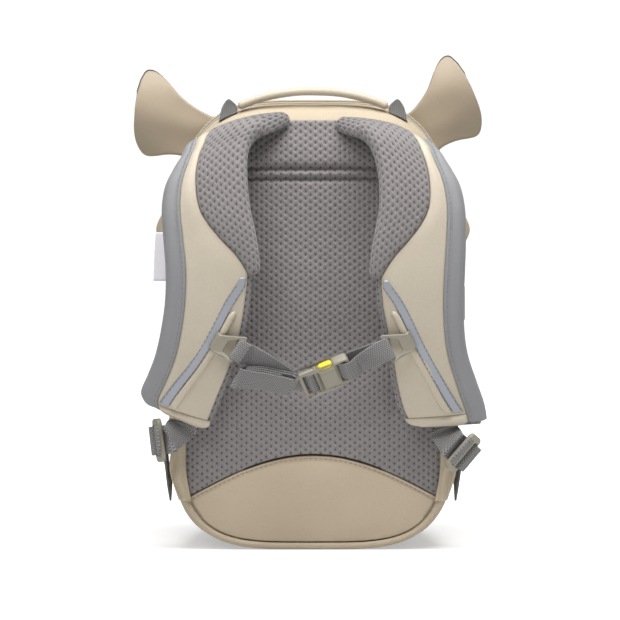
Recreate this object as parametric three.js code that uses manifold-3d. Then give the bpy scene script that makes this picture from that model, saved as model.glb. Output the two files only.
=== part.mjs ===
// A kids' animal backpack, about 31 cm high, standing on its base with the wearer's side facing -Y.
// Sizes are in millimetres. X runs across the bag, Y from the wearer's side to the front, Z up.
// The origin is the middle of the flat patch that the bag stands on.
import * as THREE from "three";
import { mergeVertices } from "three/addons/utils/BufferGeometryUtils.js";
import Module from "manifold-3d";

const wasm = await Module();
wasm.setup();

// Driving sizes of the bag.
const HEIGHT = 311;
const WIDTH = 203;
const DEPTH = 120;
const WIDEST_LEVEL = 110;
const SHELL_WALL = 2;
const SEAM_GAP = 0.3;
const OUTLINE_POWER = 3.95;
const OUTLINE_STEPS = 36;

// The main zip runs over the top, between the rear gusset and the front shell.
const ZIP_FROM_BACK = 25;
const ZIP_TAPE_WIDTH = 9;
const ZIP_COIL_PROUD = 1;
const ZIP_END_FACET = 2;
const ZIP_SLIDER = { length: 11, width: 8, thickness: 2.4, pullLength: 20, pullWidth: 6 };

// The padded back panel, with a stitched rib across it and a smooth arched panel below.
const PANEL_RIM = 3;
const PANEL_BULGE = 6;
const TOP_PAD_BULGE = 5;
const RIB_LEVEL = 259.5;
const RIB_HEIGHT = 7;
const RIB_GROOVE = 3.5;
const ARCH_END = 33;
const ARCH_RISE = 33;
const PIPING_RADIUS = 2.3;
const PIPING_END_TURN = 0.09;

// Shoulder straps, padded slabs with mesh on the wearer's side.
const STRAP_PAD = 8;
const STRAP_STANDOFF = 44;
const PANEL_CLEARANCE = 1.3;
const FACET_CLEARANCE = 1.1;
const COVER = 1.2;
const NECK_MESH = 3;
const BINDING = 1.6;
const REFLECTOR = { width: 7.4, thickness: 0.6 };
const RAIL = { radius: 1.9, lift: 0.3, fromReflector: 6.2 };

// Webbing, clips and buckle of the chest strap.
const CHEST_WEB = { width: 15, thickness: 1.3, lean: 36 };
const ROLL = { pitch: 2.35, left: 12, near: 22, far: 34, clearance: 5.5, tuck: 6, hang: 15 };
const BAR_RADIUS = 1.3;
const BAR_CLEARANCE = 0.35;
const CLIP = { reach: 14, drop: 5, forward: 5, rim: 2.2, thickness: 2.8, grip: 13 };
const BUCKLE = { height: 19.5, thickness: 8, rim: 2.6, barToRim: 6.4, malePart: 6, seat: 1.2 };
const BUTTON = { length: 10, width: 5, proud: 1.2, sunk: 3 };

// Webbing and ladder locks that hold the strap ends to the lower sides.
const LOWER_WEB = { width: 20, thickness: 1.5, rooted: 0.41, stub: 4.6, tail: 4 };
const WING_THICKNESS = 2.4;
const LADDER_LOCK = { height: 30, length: 17, thickness: 3.6, rim: 3.2 };

// Carrying handle and its webbing tabs. A sink brings a seat down to the flat facets of the outline.
const HANDLE = { radius: 2.9, halfSpan: 52, rise: 10, fromBack: 11, endLift: 0.4 };
const HANDLE_TAB = { width: 13, thickness: 2.8, peak: 2.5, sink: 0.85 };

// Ears, cupped fans with a dark lining on the front.
const EAR = { rootHalf: 13, sink: 0.2, behindZip: 9, size: 49, midway: 0.09, cup: 12, sweep: 2 };
const EAR_LAYERS = { shell: 2.4, lining: 1, gap: 0.5 };

// Side flaps and the bare woven label.
const FLAP = { height: 34, reach: 12.5, thickness: 4, swing: 10, droop: 4, fromMiddle: -4, level: 0.725 };
const LABEL = { width: 11, height: 34, thickness: 0.8, behindZip: 6.5, swing: 3, level: 0.648 };

const COLOURS = {
  fabric: [0xcdbf9f, 0.85, 0],
  mesh: [0x8d8684, 0.95, 0],
  grey: [0x8e9094, 0.6, 0],
  webbing: [0x8b8b8d, 0.8, 0],
  reflector: [0xb0b6c0, 0.35, 0.1],
  plastic: [0x9a9482, 0.5, 0],
  button: [0xe8d820, 0.4, 0],
  lining: [0x4a4a4c, 0.9, 0],
  label: [0xe9e7ee, 0.8, 0],
  zip: [0xc4ae86, 0.7, 0],
};

const half = WIDTH / 2;
const backPlane = -DEPTH / 2;
const zipPlane = backPlane + ZIP_FROM_BACK;
const bag = new THREE.Group();

// Columns are shares: depth of DEPTH, half of the half width, crown and foot of the outline above and below
// the widest level. A foot over 1 is cut flat by the floor.
const BODY_SECTIONS = [
  { depth: 0.0, half: 0.905, crown: 0.927, foot: 0.953 },
  { depth: 0.05, half: 0.955, crown: 0.963, foot: 0.992 },
  { depth: 0.14, half: 0.985, crown: 0.987, foot: 1.012 },
  { depth: 0.35, half: 1.0, crown: 1.0, foot: 1.016 },
  { depth: 0.6, half: 0.99, crown: 0.995, foot: 1.014 },
  { depth: 0.8, half: 0.95, crown: 0.962, foot: 1.006 },
  { depth: 0.88, half: 0.915, crown: 0.925, foot: 0.985 },
  { depth: 0.94, half: 0.82, crown: 0.83, foot: 0.9 },
  { depth: 0.98, half: 0.6, crown: 0.62, foot: 0.68 },
  { depth: 1.0, half: 0.0, crown: 0.0, foot: 0.0 },
];

// Shoulder strap stations from the top seam to the free end. The inner and outer edges are shares of the half
// width and of HEIGHT, off is the standoff as a share of STRAP_STANDOFF, pad the thickness as a share of
// STRAP_PAD, and camber the crown of the section as a share of STRAP_PAD.
const LEFT_STRAP = [
  { innerX: 0.167, innerZ: 0.955, outerX: 0.76, outerZ: 0.882, off: 0.0, pad: 0.4, camber: 0.5 },
  { innerX: 0.209, innerZ: 0.948, outerX: 0.787, outerZ: 0.888, off: 0.18, pad: 0.75, camber: 0.5 },
  { innerX: 0.293, innerZ: 0.936, outerX: 0.815, outerZ: 0.886, off: 0.36, pad: 0.95, camber: 0.5 },
  { innerX: 0.376, innerZ: 0.924, outerX: 0.842, outerZ: 0.877, off: 0.52, pad: 1, camber: 0.45 },
  { innerX: 0.438, innerZ: 0.9, outerX: 0.878, outerZ: 0.856, off: 0.65, pad: 1, camber: 0.4 },
  { innerX: 0.471, innerZ: 0.872, outerX: 0.923, outerZ: 0.834, off: 0.76, pad: 1, camber: 0.4 },
  { innerX: 0.475, innerZ: 0.827, outerX: 0.97, outerZ: 0.802, off: 0.87, pad: 1, camber: 0.4 },
  { innerX: 0.455, innerZ: 0.764, outerX: 0.988, outerZ: 0.754, off: 0.96, pad: 1, camber: 0.4 },
  { innerX: 0.416, innerZ: 0.694, outerX: 0.977, outerZ: 0.694, off: 1.0, pad: 1, camber: 0.4 },
  { innerX: 0.397, innerZ: 0.631, outerX: 0.962, outerZ: 0.626, off: 1.0, pad: 1, camber: 0.4 },
  { innerX: 0.417, innerZ: 0.558, outerX: 0.968, outerZ: 0.558, off: 0.95, pad: 1, camber: 0.4 },
  { innerX: 0.451, innerZ: 0.495, outerX: 0.999, outerZ: 0.492, off: 0.86, pad: 1, camber: 0.4 },
  { innerX: 0.505, innerZ: 0.434, outerX: 1.04, outerZ: 0.437, off: 0.73, pad: 1, camber: 0.4 },
  { innerX: 0.575, innerZ: 0.375, outerX: 1.091, outerZ: 0.394, off: 0.60, pad: 1, camber: 0.4 },
  { innerX: 0.654, innerZ: 0.307, outerX: 1.138, outerZ: 0.355, off: 0.48, pad: 1, camber: 0.3 },
  { innerX: 0.714, innerZ: 0.269, outerX: 1.104, outerZ: 0.326, off: 0.42, pad: 0.7, camber: 0.2 },
];
const RIGHT_STRAP = [
  { innerX: 0.158, innerZ: 0.945, outerX: 0.74, outerZ: 0.886, off: 0.0, pad: 0.4, camber: 0.5 },
  { innerX: 0.206, innerZ: 0.936, outerX: 0.765, outerZ: 0.892, off: 0.18, pad: 0.75, camber: 0.5 },
  { innerX: 0.274, innerZ: 0.929, outerX: 0.793, outerZ: 0.883, off: 0.36, pad: 0.95, camber: 0.5 },
  { innerX: 0.332, innerZ: 0.922, outerX: 0.82, outerZ: 0.873, off: 0.52, pad: 1, camber: 0.45 },
  { innerX: 0.389, innerZ: 0.903, outerX: 0.86, outerZ: 0.86, off: 0.65, pad: 1, camber: 0.4 },
  { innerX: 0.437, innerZ: 0.871, outerX: 0.913, outerZ: 0.836, off: 0.76, pad: 1, camber: 0.4 },
  { innerX: 0.47, innerZ: 0.822, outerX: 0.965, outerZ: 0.803, off: 0.87, pad: 1, camber: 0.4 },
  { innerX: 0.475, innerZ: 0.762, outerX: 0.993, outerZ: 0.754, off: 0.96, pad: 1, camber: 0.4 },
  { innerX: 0.44, innerZ: 0.691, outerX: 0.997, outerZ: 0.691, off: 1.0, pad: 1, camber: 0.4 },
  { innerX: 0.416, innerZ: 0.622, outerX: 0.992, outerZ: 0.626, off: 1.0, pad: 1, camber: 0.4 },
  { innerX: 0.426, innerZ: 0.558, outerX: 0.985, outerZ: 0.558, off: 0.95, pad: 1, camber: 0.4 },
  { innerX: 0.461, innerZ: 0.498, outerX: 0.992, outerZ: 0.492, off: 0.86, pad: 1, camber: 0.4 },
  { innerX: 0.5, innerZ: 0.434, outerX: 1.02, outerZ: 0.437, off: 0.73, pad: 1, camber: 0.4 },
  { innerX: 0.531, innerZ: 0.375, outerX: 1.082, outerZ: 0.378, off: 0.60, pad: 1, camber: 0.4 },
  { innerX: 0.581, innerZ: 0.314, outerX: 1.133, outerZ: 0.33, off: 0.48, pad: 1, camber: 0.3 },
  { innerX: 0.665, innerZ: 0.278, outerX: 1.158, outerZ: 0.285, off: 0.42, pad: 0.7, camber: 0.2 },
];
const STRAP_END = LEFT_STRAP.length - 1;

// Where the sewn pieces of a strap lie. Station is the row of the strap table, and across runs from 0 at the
// inner edge to 1 at the outer edge.
const NECK_EDGE = [
  { station: 0, across: 0.72 },
  { station: 2, across: 0.7 },
  { station: 4, across: 0.66 },
  { station: 6, across: 0.605 },
  { station: 7, across: 0.56 },
  { station: 7.5, across: 0.48 },
  { station: 8, across: 0.35 },
  { station: 8.5, across: 0.2 },
  { station: 9.2, across: 0.05 },
];
const BINDING_EDGE = [
  { station: 0, across: 0.86 },
  { station: 3, across: 0.84 },
  { station: 5, across: 0.79 },
  { station: 7, across: 0.8 },
  { station: 11, across: 0.785 },
  { station: 15, across: 0.79 },
];
const REFLECTOR_LINE = [
  { station: 9.25, across: 0.08 },
  { station: 10, across: 0.256 },
  { station: 11, across: 0.395 },
  { station: 12, across: 0.51 },
  { station: 13, across: 0.61 },
  { station: 14.2, across: 0.7 },
];
const RAIL_START = 10.25;
const RAIL_END = 14.15;
const SLIDER_STATION = 11.25;
const HEM_STATION = 14.35;

// Reads a table at a place along its key column, with a smooth cubic between the rows.
function readTable(rows, key, at, column) {
  const last = rows.length - 1;
  let i = 0;
  while (i < last - 1 && at > rows[i + 1][key]) i += 1;
  const slope = (k) => {
    const a = rows[Math.max(k - 1, 0)];
    const b = rows[Math.min(k + 1, last)];
    return (b[column] - a[column]) / (b[key] - a[key]);
  };
  const low = rows[i];
  const high = rows[i + 1];
  const span = high[key] - low[key];
  const t = THREE.MathUtils.clamp((at - low[key]) / span, 0, 1);
  const t2 = t * t;
  const t3 = t2 * t;
  return (
    (2 * t3 - 3 * t2 + 1) * low[column] +
    (t3 - 2 * t2 + t) * span * slope(i) +
    (3 * t2 - 2 * t3) * high[column] +
    (t3 - t2) * span * slope(i + 1)
  );
}

// Turns a list of points and triangles into a closed geometry that faces out.
function closedGeometry(points, triangles) {
  const kept = triangles.filter(([a, b, c]) => {
    const [p, q, r] = [points[a], points[b], points[c]];
    return p.distanceTo(q) > 1e-4 && q.distanceTo(r) > 1e-4 && r.distanceTo(p) > 1e-4;
  });
  let volume = 0;
  for (const [a, b, c] of kept) volume += points[a].dot(points[b].clone().cross(points[c]));
  const index = kept.flatMap(([a, b, c]) => (volume < 0 ? [a, c, b] : [a, b, c]));
  const geometry = new THREE.BufferGeometry().setFromPoints(points);
  geometry.setIndex(index);
  return mergeVertices(geometry, 1e-4);
}

// A sheet with two faces. at(u, v, face) gives a point, with face 1 on the outside and -1 on the inside.
// A ring sheet closes on itself across v.
function sheetGeometry(rows, columns, at, ring = false) {
  const wide = ring ? columns : columns + 1;
  const points = [];
  for (const face of [1, -1])
    for (let i = 0; i <= rows; i += 1)
      for (let j = 0; j < wide; j += 1) points.push(at(i / rows, j / columns, face));
  const inside = (rows + 1) * wide;
  const id = (i, j, face) => (face > 0 ? 0 : inside) + i * wide + (j % wide);
  const triangles = [];
  const quad = (a, b, c, d) => triangles.push([a, b, c], [a, c, d]);
  for (let i = 0; i < rows; i += 1)
    for (let j = 0; j < columns; j += 1) {
      quad(id(i, j, 1), id(i, j + 1, 1), id(i + 1, j + 1, 1), id(i + 1, j, 1));
      quad(id(i, j, -1), id(i + 1, j, -1), id(i + 1, j + 1, -1), id(i, j + 1, -1));
    }
  for (let j = 0; j < columns; j += 1) {
    quad(id(0, j, 1), id(0, j, -1), id(0, j + 1, -1), id(0, j + 1, 1));
    quad(id(rows, j, 1), id(rows, j + 1, 1), id(rows, j + 1, -1), id(rows, j, -1));
  }
  if (!ring)
    for (let i = 0; i < rows; i += 1) {
      quad(id(i, 0, 1), id(i + 1, 0, 1), id(i + 1, 0, -1), id(i, 0, -1));
      quad(id(i, columns, 1), id(i, columns, -1), id(i + 1, columns, -1), id(i + 1, columns, 1));
    }
  return closedGeometry(points, triangles);
}

// A loft through closed sections of equal counts, with a fan over each end.
function loftGeometry(sections) {
  const around = sections[0].length;
  const points = sections.flat();
  const triangles = [];
  for (let i = 0; i < sections.length - 1; i += 1)
    for (let j = 0; j < around; j += 1) {
      const k = (j + 1) % around;
      const [a, b] = [i * around, (i + 1) * around];
      triangles.push([a + j, a + k, b + k], [a + j, b + k, b + j]);
    }
  const first = points.length;
  const middle = (section) =>
    section.reduce((sum, p) => sum.add(p), new THREE.Vector3()).divideScalar(around);
  points.push(middle(sections[0]), middle(sections[sections.length - 1]));
  const end = (sections.length - 1) * around;
  for (let j = 0; j < around; j += 1) {
    const k = (j + 1) % around;
    triangles.push([first, k, j], [first + 1, end + j, end + k]);
  }
  return closedGeometry(points, triangles);
}

// A ribbon of webbing through stations that each hold a middle, a width direction and a face direction.
function ribbonGeometry(stations, width, thickness) {
  const w = width / 2;
  const t = thickness / 2;
  return loftGeometry(
    stations.map(({ middle, across, face }) =>
      [[-w, -t], [w, -t], [w, t], [-w, t]].map(([a, b]) =>
        middle.clone().addScaledVector(across, a).addScaledVector(face, b),
      ),
    ),
  );
}

function solidOf(geometry) {
  const bare = new THREE.BufferGeometry();
  const source = geometry.index ? geometry.toNonIndexed() : geometry;
  bare.setAttribute("position", source.getAttribute("position").clone());
  const merged = mergeVertices(bare, 1e-4);
  return new wasm.Manifold(
    new wasm.Mesh({
      numProp: 3,
      vertProperties: merged.attributes.position.array,
      triVerts: new Uint32Array(merged.index.array),
    }),
  );
}

function geometryOf(solid) {
  const mesh = solid.getMesh();
  const geometry = new THREE.BufferGeometry();
  geometry.setAttribute("position", new THREE.BufferAttribute(mesh.vertProperties, mesh.numProp));
  geometry.setIndex(new THREE.BufferAttribute(mesh.triVerts, 1));
  return geometry;
}

function cut(geometry, ...tools) {
  return geometryOf(tools.reduce((solid, tool) => solid.subtract(solidOf(tool)), solidOf(geometry)));
}

function join(geometry, ...more) {
  return geometryOf(more.reduce((solid, other) => solid.add(solidOf(other)), solidOf(geometry)));
}

function add(name, geometry, look) {
  const [color, roughness, metalness] = COLOURS[look];
  geometry.computeVertexNormals();
  const mesh = new THREE.Mesh(
    geometry,
    new THREE.MeshStandardMaterial({ color, roughness, metalness }),
  );
  mesh.name = name;
  bag.add(mesh);
}

// A rectangle with round corners, as a shape in the XY plane.
function roundedRectangle(x0, y0, x1, y1, radius) {
  const shape = new THREE.Shape();
  shape.moveTo(x0 + radius, y0);
  shape.lineTo(x1 - radius, y0);
  shape.absarc(x1 - radius, y0 + radius, radius, -Math.PI / 2, 0, false);
  shape.lineTo(x1, y1 - radius);
  shape.absarc(x1 - radius, y1 - radius, radius, 0, Math.PI / 2, false);
  shape.lineTo(x0 + radius, y1);
  shape.absarc(x0 + radius, y1 - radius, radius, Math.PI / 2, Math.PI, false);
  shape.lineTo(x0, y0 + radius);
  shape.absarc(x0 + radius, y0 + radius, radius, Math.PI, 1.5 * Math.PI, false);
  return shape;
}

function extruded(shape, from, to, curveSegments = 3) {
  const geometry = new THREE.ExtrudeGeometry(shape, {
    depth: to - from,
    bevelEnabled: false,
    curveSegments,
  });
  return geometry.translate(0, 0, from);
}

// Moves a geometry from its own X, Y and Z to three directions at a place.
function placed(geometry, origin, x, y, z) {
  const frame = new THREE.Matrix4().makeBasis(x, y, z).setPosition(origin);
  return geometry.applyMatrix4(frame);
}

// A point of the bag's outline: turn 0 is the right side, 0.25 the crown and 0.75 the foot.
function outlinePoint(turn, halfWidth, crown, foot) {
  const angle = 2 * Math.PI * turn;
  const c = Math.cos(angle);
  const s = Math.sin(angle);
  const norm = (Math.abs(c) ** OUTLINE_POWER + Math.abs(s) ** OUTLINE_POWER) ** (1 / OUTLINE_POWER);
  const z = WIDEST_LEVEL + ((s > 0 ? crown : foot) * s) / norm;
  return { x: (halfWidth * c) / norm, z };
}

// A point of the bag's surface at a depth share, set in by a wall.
function bodyPoint(turn, share, inset = 0) {
  const size = (column) => readTable(BODY_SECTIONS, "depth", share, column);
  const { x, z } = outlinePoint(
    turn,
    Math.max(size("half") * half - inset, 0),
    Math.max(size("crown") * (HEIGHT - WIDEST_LEVEL) - inset, 0),
    Math.max(size("foot") * WIDEST_LEVEL - inset, 0),
  );
  const y = backPlane + share * (DEPTH - Math.max(inset, 0));
  return new THREE.Vector3(x, y, Math.max(z, Math.max(inset, 0)));
}

const shareAt = (y) => (y - backPlane) / DEPTH;

// The half width of the bag at a depth share and level.
function halfWidthAt(share, z) {
  const size = (column) => readTable(BODY_SECTIONS, "depth", share, column);
  const above = size("crown") * (HEIGHT - WIDEST_LEVEL);
  const below = size("foot") * WIDEST_LEVEL;
  const up = Math.min(Math.abs(z - WIDEST_LEVEL) / (z > WIDEST_LEVEL ? above : below), 1);
  return size("half") * half * (1 - up ** OUTLINE_POWER) ** (1 / OUTLINE_POWER);
}

// The level of the bag's crown at a depth share and a distance from the middle.
function crownAt(share, x) {
  const size = (column) => readTable(BODY_SECTIONS, "depth", share, column);
  const across = Math.min(Math.abs(x) / (size("half") * half), 1);
  const reach = (1 - across ** OUTLINE_POWER) ** (1 / OUTLINE_POWER);
  return WIDEST_LEVEL + size("crown") * (HEIGHT - WIDEST_LEVEL) * reach;
}

// 1 where the zip runs and 0 below its two ends, which lie on facets of the outline.
function zipZone(turn) {
  const facet = Math.round(turn * OUTLINE_STEPS);
  return facet >= ZIP_END_FACET && facet <= OUTLINE_STEPS / 2 - ZIP_END_FACET ? 1 : 0;
}

function buildShell() {
  const opening = (turn) => (ZIP_TAPE_WIDTH / 2) * zipZone(turn) + SEAM_GAP / 2;
  const rearRows = [0, 0.05, 0.14];
  const rear = (u, turn, face) => {
    const row = Math.round(u * rearRows.length);
    const share = row < rearRows.length ? rearRows[row] : shareAt(zipPlane - opening(turn));
    return bodyPoint(turn, share, face > 0 ? 0 : SHELL_WALL);
  };
  add("rear_gusset", sheetGeometry(rearRows.length, OUTLINE_STEPS, rear, true), "fabric");

  const frontRows = BODY_SECTIONS.map((row) => row.depth).filter((depth) => depth > 0.3);
  const front = (u, turn, face) => {
    const row = Math.round(u * frontRows.length);
    const share = row === 0 ? shareAt(zipPlane + opening(turn)) : frontRows[row - 1];
    return bodyPoint(turn, share, face > 0 ? 0 : SHELL_WALL);
  };
  add("front_shell", sheetGeometry(frontRows.length, OUTLINE_STEPS, front, true), "fabric");
}

function buildZip() {
  const first = ZIP_END_FACET / OUTLINE_STEPS;
  const last = 0.5 - first;
  const facets = OUTLINE_STEPS / 2 - 2 * ZIP_END_FACET;
  const tapeHalf = ZIP_TAPE_WIDTH / 2 - 1.5 * SEAM_GAP;
  const lifts = [-0.4, -0.3, ZIP_COIL_PROUD, -0.3, -0.4];
  const tape = (u, v, face) => {
    const y = zipPlane + (2 * v - 1) * tapeHalf * (Math.abs(v - 0.5) === 0.25 ? 0.7 : 1);
    const lift = face > 0 ? lifts[Math.round(v * 4)] : -SHELL_WALL + 0.2;
    const point = bodyPoint(first + u * (last - first), shareAt(y), -lift);
    return point.setY(y);
  };
  add("zip_tape", sheetGeometry(facets, 4, tape), "zip");

  const foot = bodyPoint(first, shareAt(zipPlane), -ZIP_COIL_PROUD - 2 * SEAM_GAP);
  const { length, width, thickness, pullLength, pullWidth } = ZIP_SLIDER;
  const body = extruded(roundedRectangle(-width / 2, 0, width / 2, length, 2), 0, thickness);
  const pull = extruded(
    roundedRectangle(-pullWidth / 2, -pullLength, pullWidth / 2, length / 2, 2.5),
    thickness - 0.2,
    thickness + 1.4,
  );
  const slider = placed(
    join(body, pull),
    foot.clone().add(new THREE.Vector3(0, 0, -length / 2)),
    new THREE.Vector3(0, 1, 0),
    new THREE.Vector3(0, 0, 1),
    new THREE.Vector3(1, 0, 0),
  );
  add("zip_slider", slider, "plastic");
}

// Maps a square of -1 to 1 onto the back outline, so that its edge follows the outline.
function panelPoint(a, b) {
  const most = Math.max(Math.abs(a), Math.abs(b));
  const norm = (Math.abs(a) ** OUTLINE_POWER + Math.abs(b) ** OUTLINE_POWER) ** (1 / OUTLINE_POWER);
  const k = norm > 0 ? most / norm : 0;
  const back = BODY_SECTIONS[0];
  const x = back.half * half * a * k;
  const reach = b > 0 ? back.crown * (HEIGHT - WIDEST_LEVEL) : back.foot * WIDEST_LEVEL;
  return { x, z: WIDEST_LEVEL + reach * b * k };
}

const archLevel = (x) =>
  ARCH_END + ARCH_RISE * Math.cos((Math.PI / 2) * Math.min(Math.abs(x) / (BODY_SECTIONS[0].half * half), 1));

// The b of the square that lies on the arch, at a given a.
function archAt(a) {
  let [low, high] = [-1, 1];
  for (let step = 0; step < 30; step += 1) {
    const b = (low + high) / 2;
    const { x, z } = panelPoint(a, b);
    if (z > archLevel(x)) high = b;
    else low = b;
  }
  return (low + high) / 2;
}

// How far the padded panel stands out at a point: a pillow above the rib, the rib, and the long pad below it.
function padRise(z, edge) {
  const pillow = 1 - edge ** 4;
  const above = (z - RIB_LEVEL) / (RIB_HEIGHT / 2);
  const groove = RIB_GROOVE * Math.exp(-(((Math.abs(above) - 1) * 2.2) ** 2));
  const top = above > 1 ? TOP_PAD_BULGE * Math.sin(Math.PI * Math.min((above - 1) / 9, 1)) : 0;
  return PANEL_BULGE * pillow + (top - groove) * (1 - edge ** 6);
}

// The Y of the panel's front at a place, or of the bag's back edge outside the panel.
function panelFront(x, z) {
  const back = BODY_SECTIONS[0];
  const up = z - WIDEST_LEVEL;
  const reach = up > 0 ? back.crown * (HEIGHT - WIDEST_LEVEL) : back.foot * WIDEST_LEVEL;
  const across = Math.abs(x) / (back.half * half);
  const edge = (across ** OUTLINE_POWER + Math.abs(up / reach) ** OUTLINE_POWER) ** (1 / OUTLINE_POWER);
  const out = edge < 1 ? PANEL_RIM + padRise(z, edge) : PANEL_RIM;
  return backPlane - SEAM_GAP - out;
}

function buildBackPanel() {
  const panel = (fromB, toB, rise) => (u, v, face) => {
    const a = 2 * v - 1;
    const b = fromB(a) + (toB(a) - fromB(a)) * u;
    const { x, z } = panelPoint(a, b);
    const edge = Math.max(Math.abs(a), Math.abs(b));
    const out = face > 0 ? PANEL_RIM + rise(z, edge) : 0;
    return new THREE.Vector3(x, backPlane - SEAM_GAP - out, z);
  };
  const step = (2 * SEAM_GAP) / HEIGHT;
  const levels = 18;
  add(
    "back_mesh",
    sheetGeometry(levels, 12, panel((a) => archAt(a) + step, () => 1, padRise)),
    "mesh",
  );
  const plain = (z, edge) => PANEL_BULGE * (1 - edge ** 4) - 0.8;
  add(
    "lumbar_panel",
    sheetGeometry(5, 12, panel(() => -1, (a) => archAt(a) - step, plain)),
    "fabric",
  );

  // The piping runs down both sides and round the foot, just outside the panel's edge.
  const back = BODY_SECTIONS[0];
  const grow = PIPING_RADIUS + 1.5 * SEAM_GAP;
  const from = PIPING_END_TURN;
  const sections = [];
  const steps = 30;
  for (let i = 0; i <= steps; i += 1) {
    const turn = from - (i / steps) * (0.5 + 2 * from);
    const at = (extra) =>
      outlinePoint(
        turn,
        back.half * half + extra,
        back.crown * (HEIGHT - WIDEST_LEVEL) + extra,
        back.foot * WIDEST_LEVEL + extra,
      );
    const { x, z } = at(grow);
    const outer = at(grow + 1);
    const out = new THREE.Vector3(outer.x - x, 0, outer.z - z).normalize();
    const middle = new THREE.Vector3(x, backPlane - PIPING_RADIUS, Math.max(z, PIPING_RADIUS));
    const ring = [];
    for (let k = 0; k < 6; k += 1) {
      const angle = (k / 6) * 2 * Math.PI;
      ring.push(
        middle
          .clone()
          .addScaledVector(out, PIPING_RADIUS * Math.cos(angle))
          .add(new THREE.Vector3(0, PIPING_RADIUS * Math.sin(angle), 0)),
      );
    }
    sections.push(ring);
  }
  add("back_piping", loftGeometry(sections), "fabric");
}

// One side's strap surface. side is -1 for the left strap and 1 for the right.
function strapOf(side) {
  const rows = (side < 0 ? LEFT_STRAP : RIGHT_STRAP).map((row, station) => ({ ...row, station }));
  const read = (station, column) => readTable(rows, "station", station, column);
  const seat = backPlane - PANEL_RIM / 2;
  const edge = (station, name) =>
    new THREE.Vector3(
      side * half * read(station, name + "X"),
      seat - STRAP_STANDOFF * read(station, "off"),
      HEIGHT * read(station, name + "Z"),
    );
  const ruled = (station, across) =>
    edge(station, "inner").lerp(edge(station, "outer"), across);
  const normal = (station, across) => {
    const step = 0.05;
    const low = Math.max(station - step, 0);
    const high = Math.min(station + step, STRAP_END);
    const along = ruled(high, across).sub(ruled(low, across));
    const over = edge(station, "outer").sub(edge(station, "inner"));
    return over.cross(along).multiplyScalar(-side).normalize();
  };
  const camber = (station, across) =>
    STRAP_PAD * read(station, "camber") * 4 * across * (1 - across);
  const pad = (station) => STRAP_PAD * read(station, "pad");
  // A point lifted off the middle of the padding, along the strap's own normal.
  const point = (station, across, lift) => {
    const place = ruled(station, across);
    place.addScaledVector(normal(station, across), camber(station, across) + lift);
    return place.setY(Math.min(place.y, panelFront(place.x, place.z) - PANEL_CLEARANCE));
  };
  const top = (station, across, lift) => point(station, across, pad(station) / 2 + lift);
  return { side, edge, normal, pad, point, top, ruled };
}

const edgeOf = (table) => (station) => readTable(table, "station", station, "across");
const neckEdge = edgeOf(NECK_EDGE);
const bindingEdge = edgeOf(BINDING_EDGE);
const reflectorLine = edgeOf(REFLECTOR_LINE);

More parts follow.
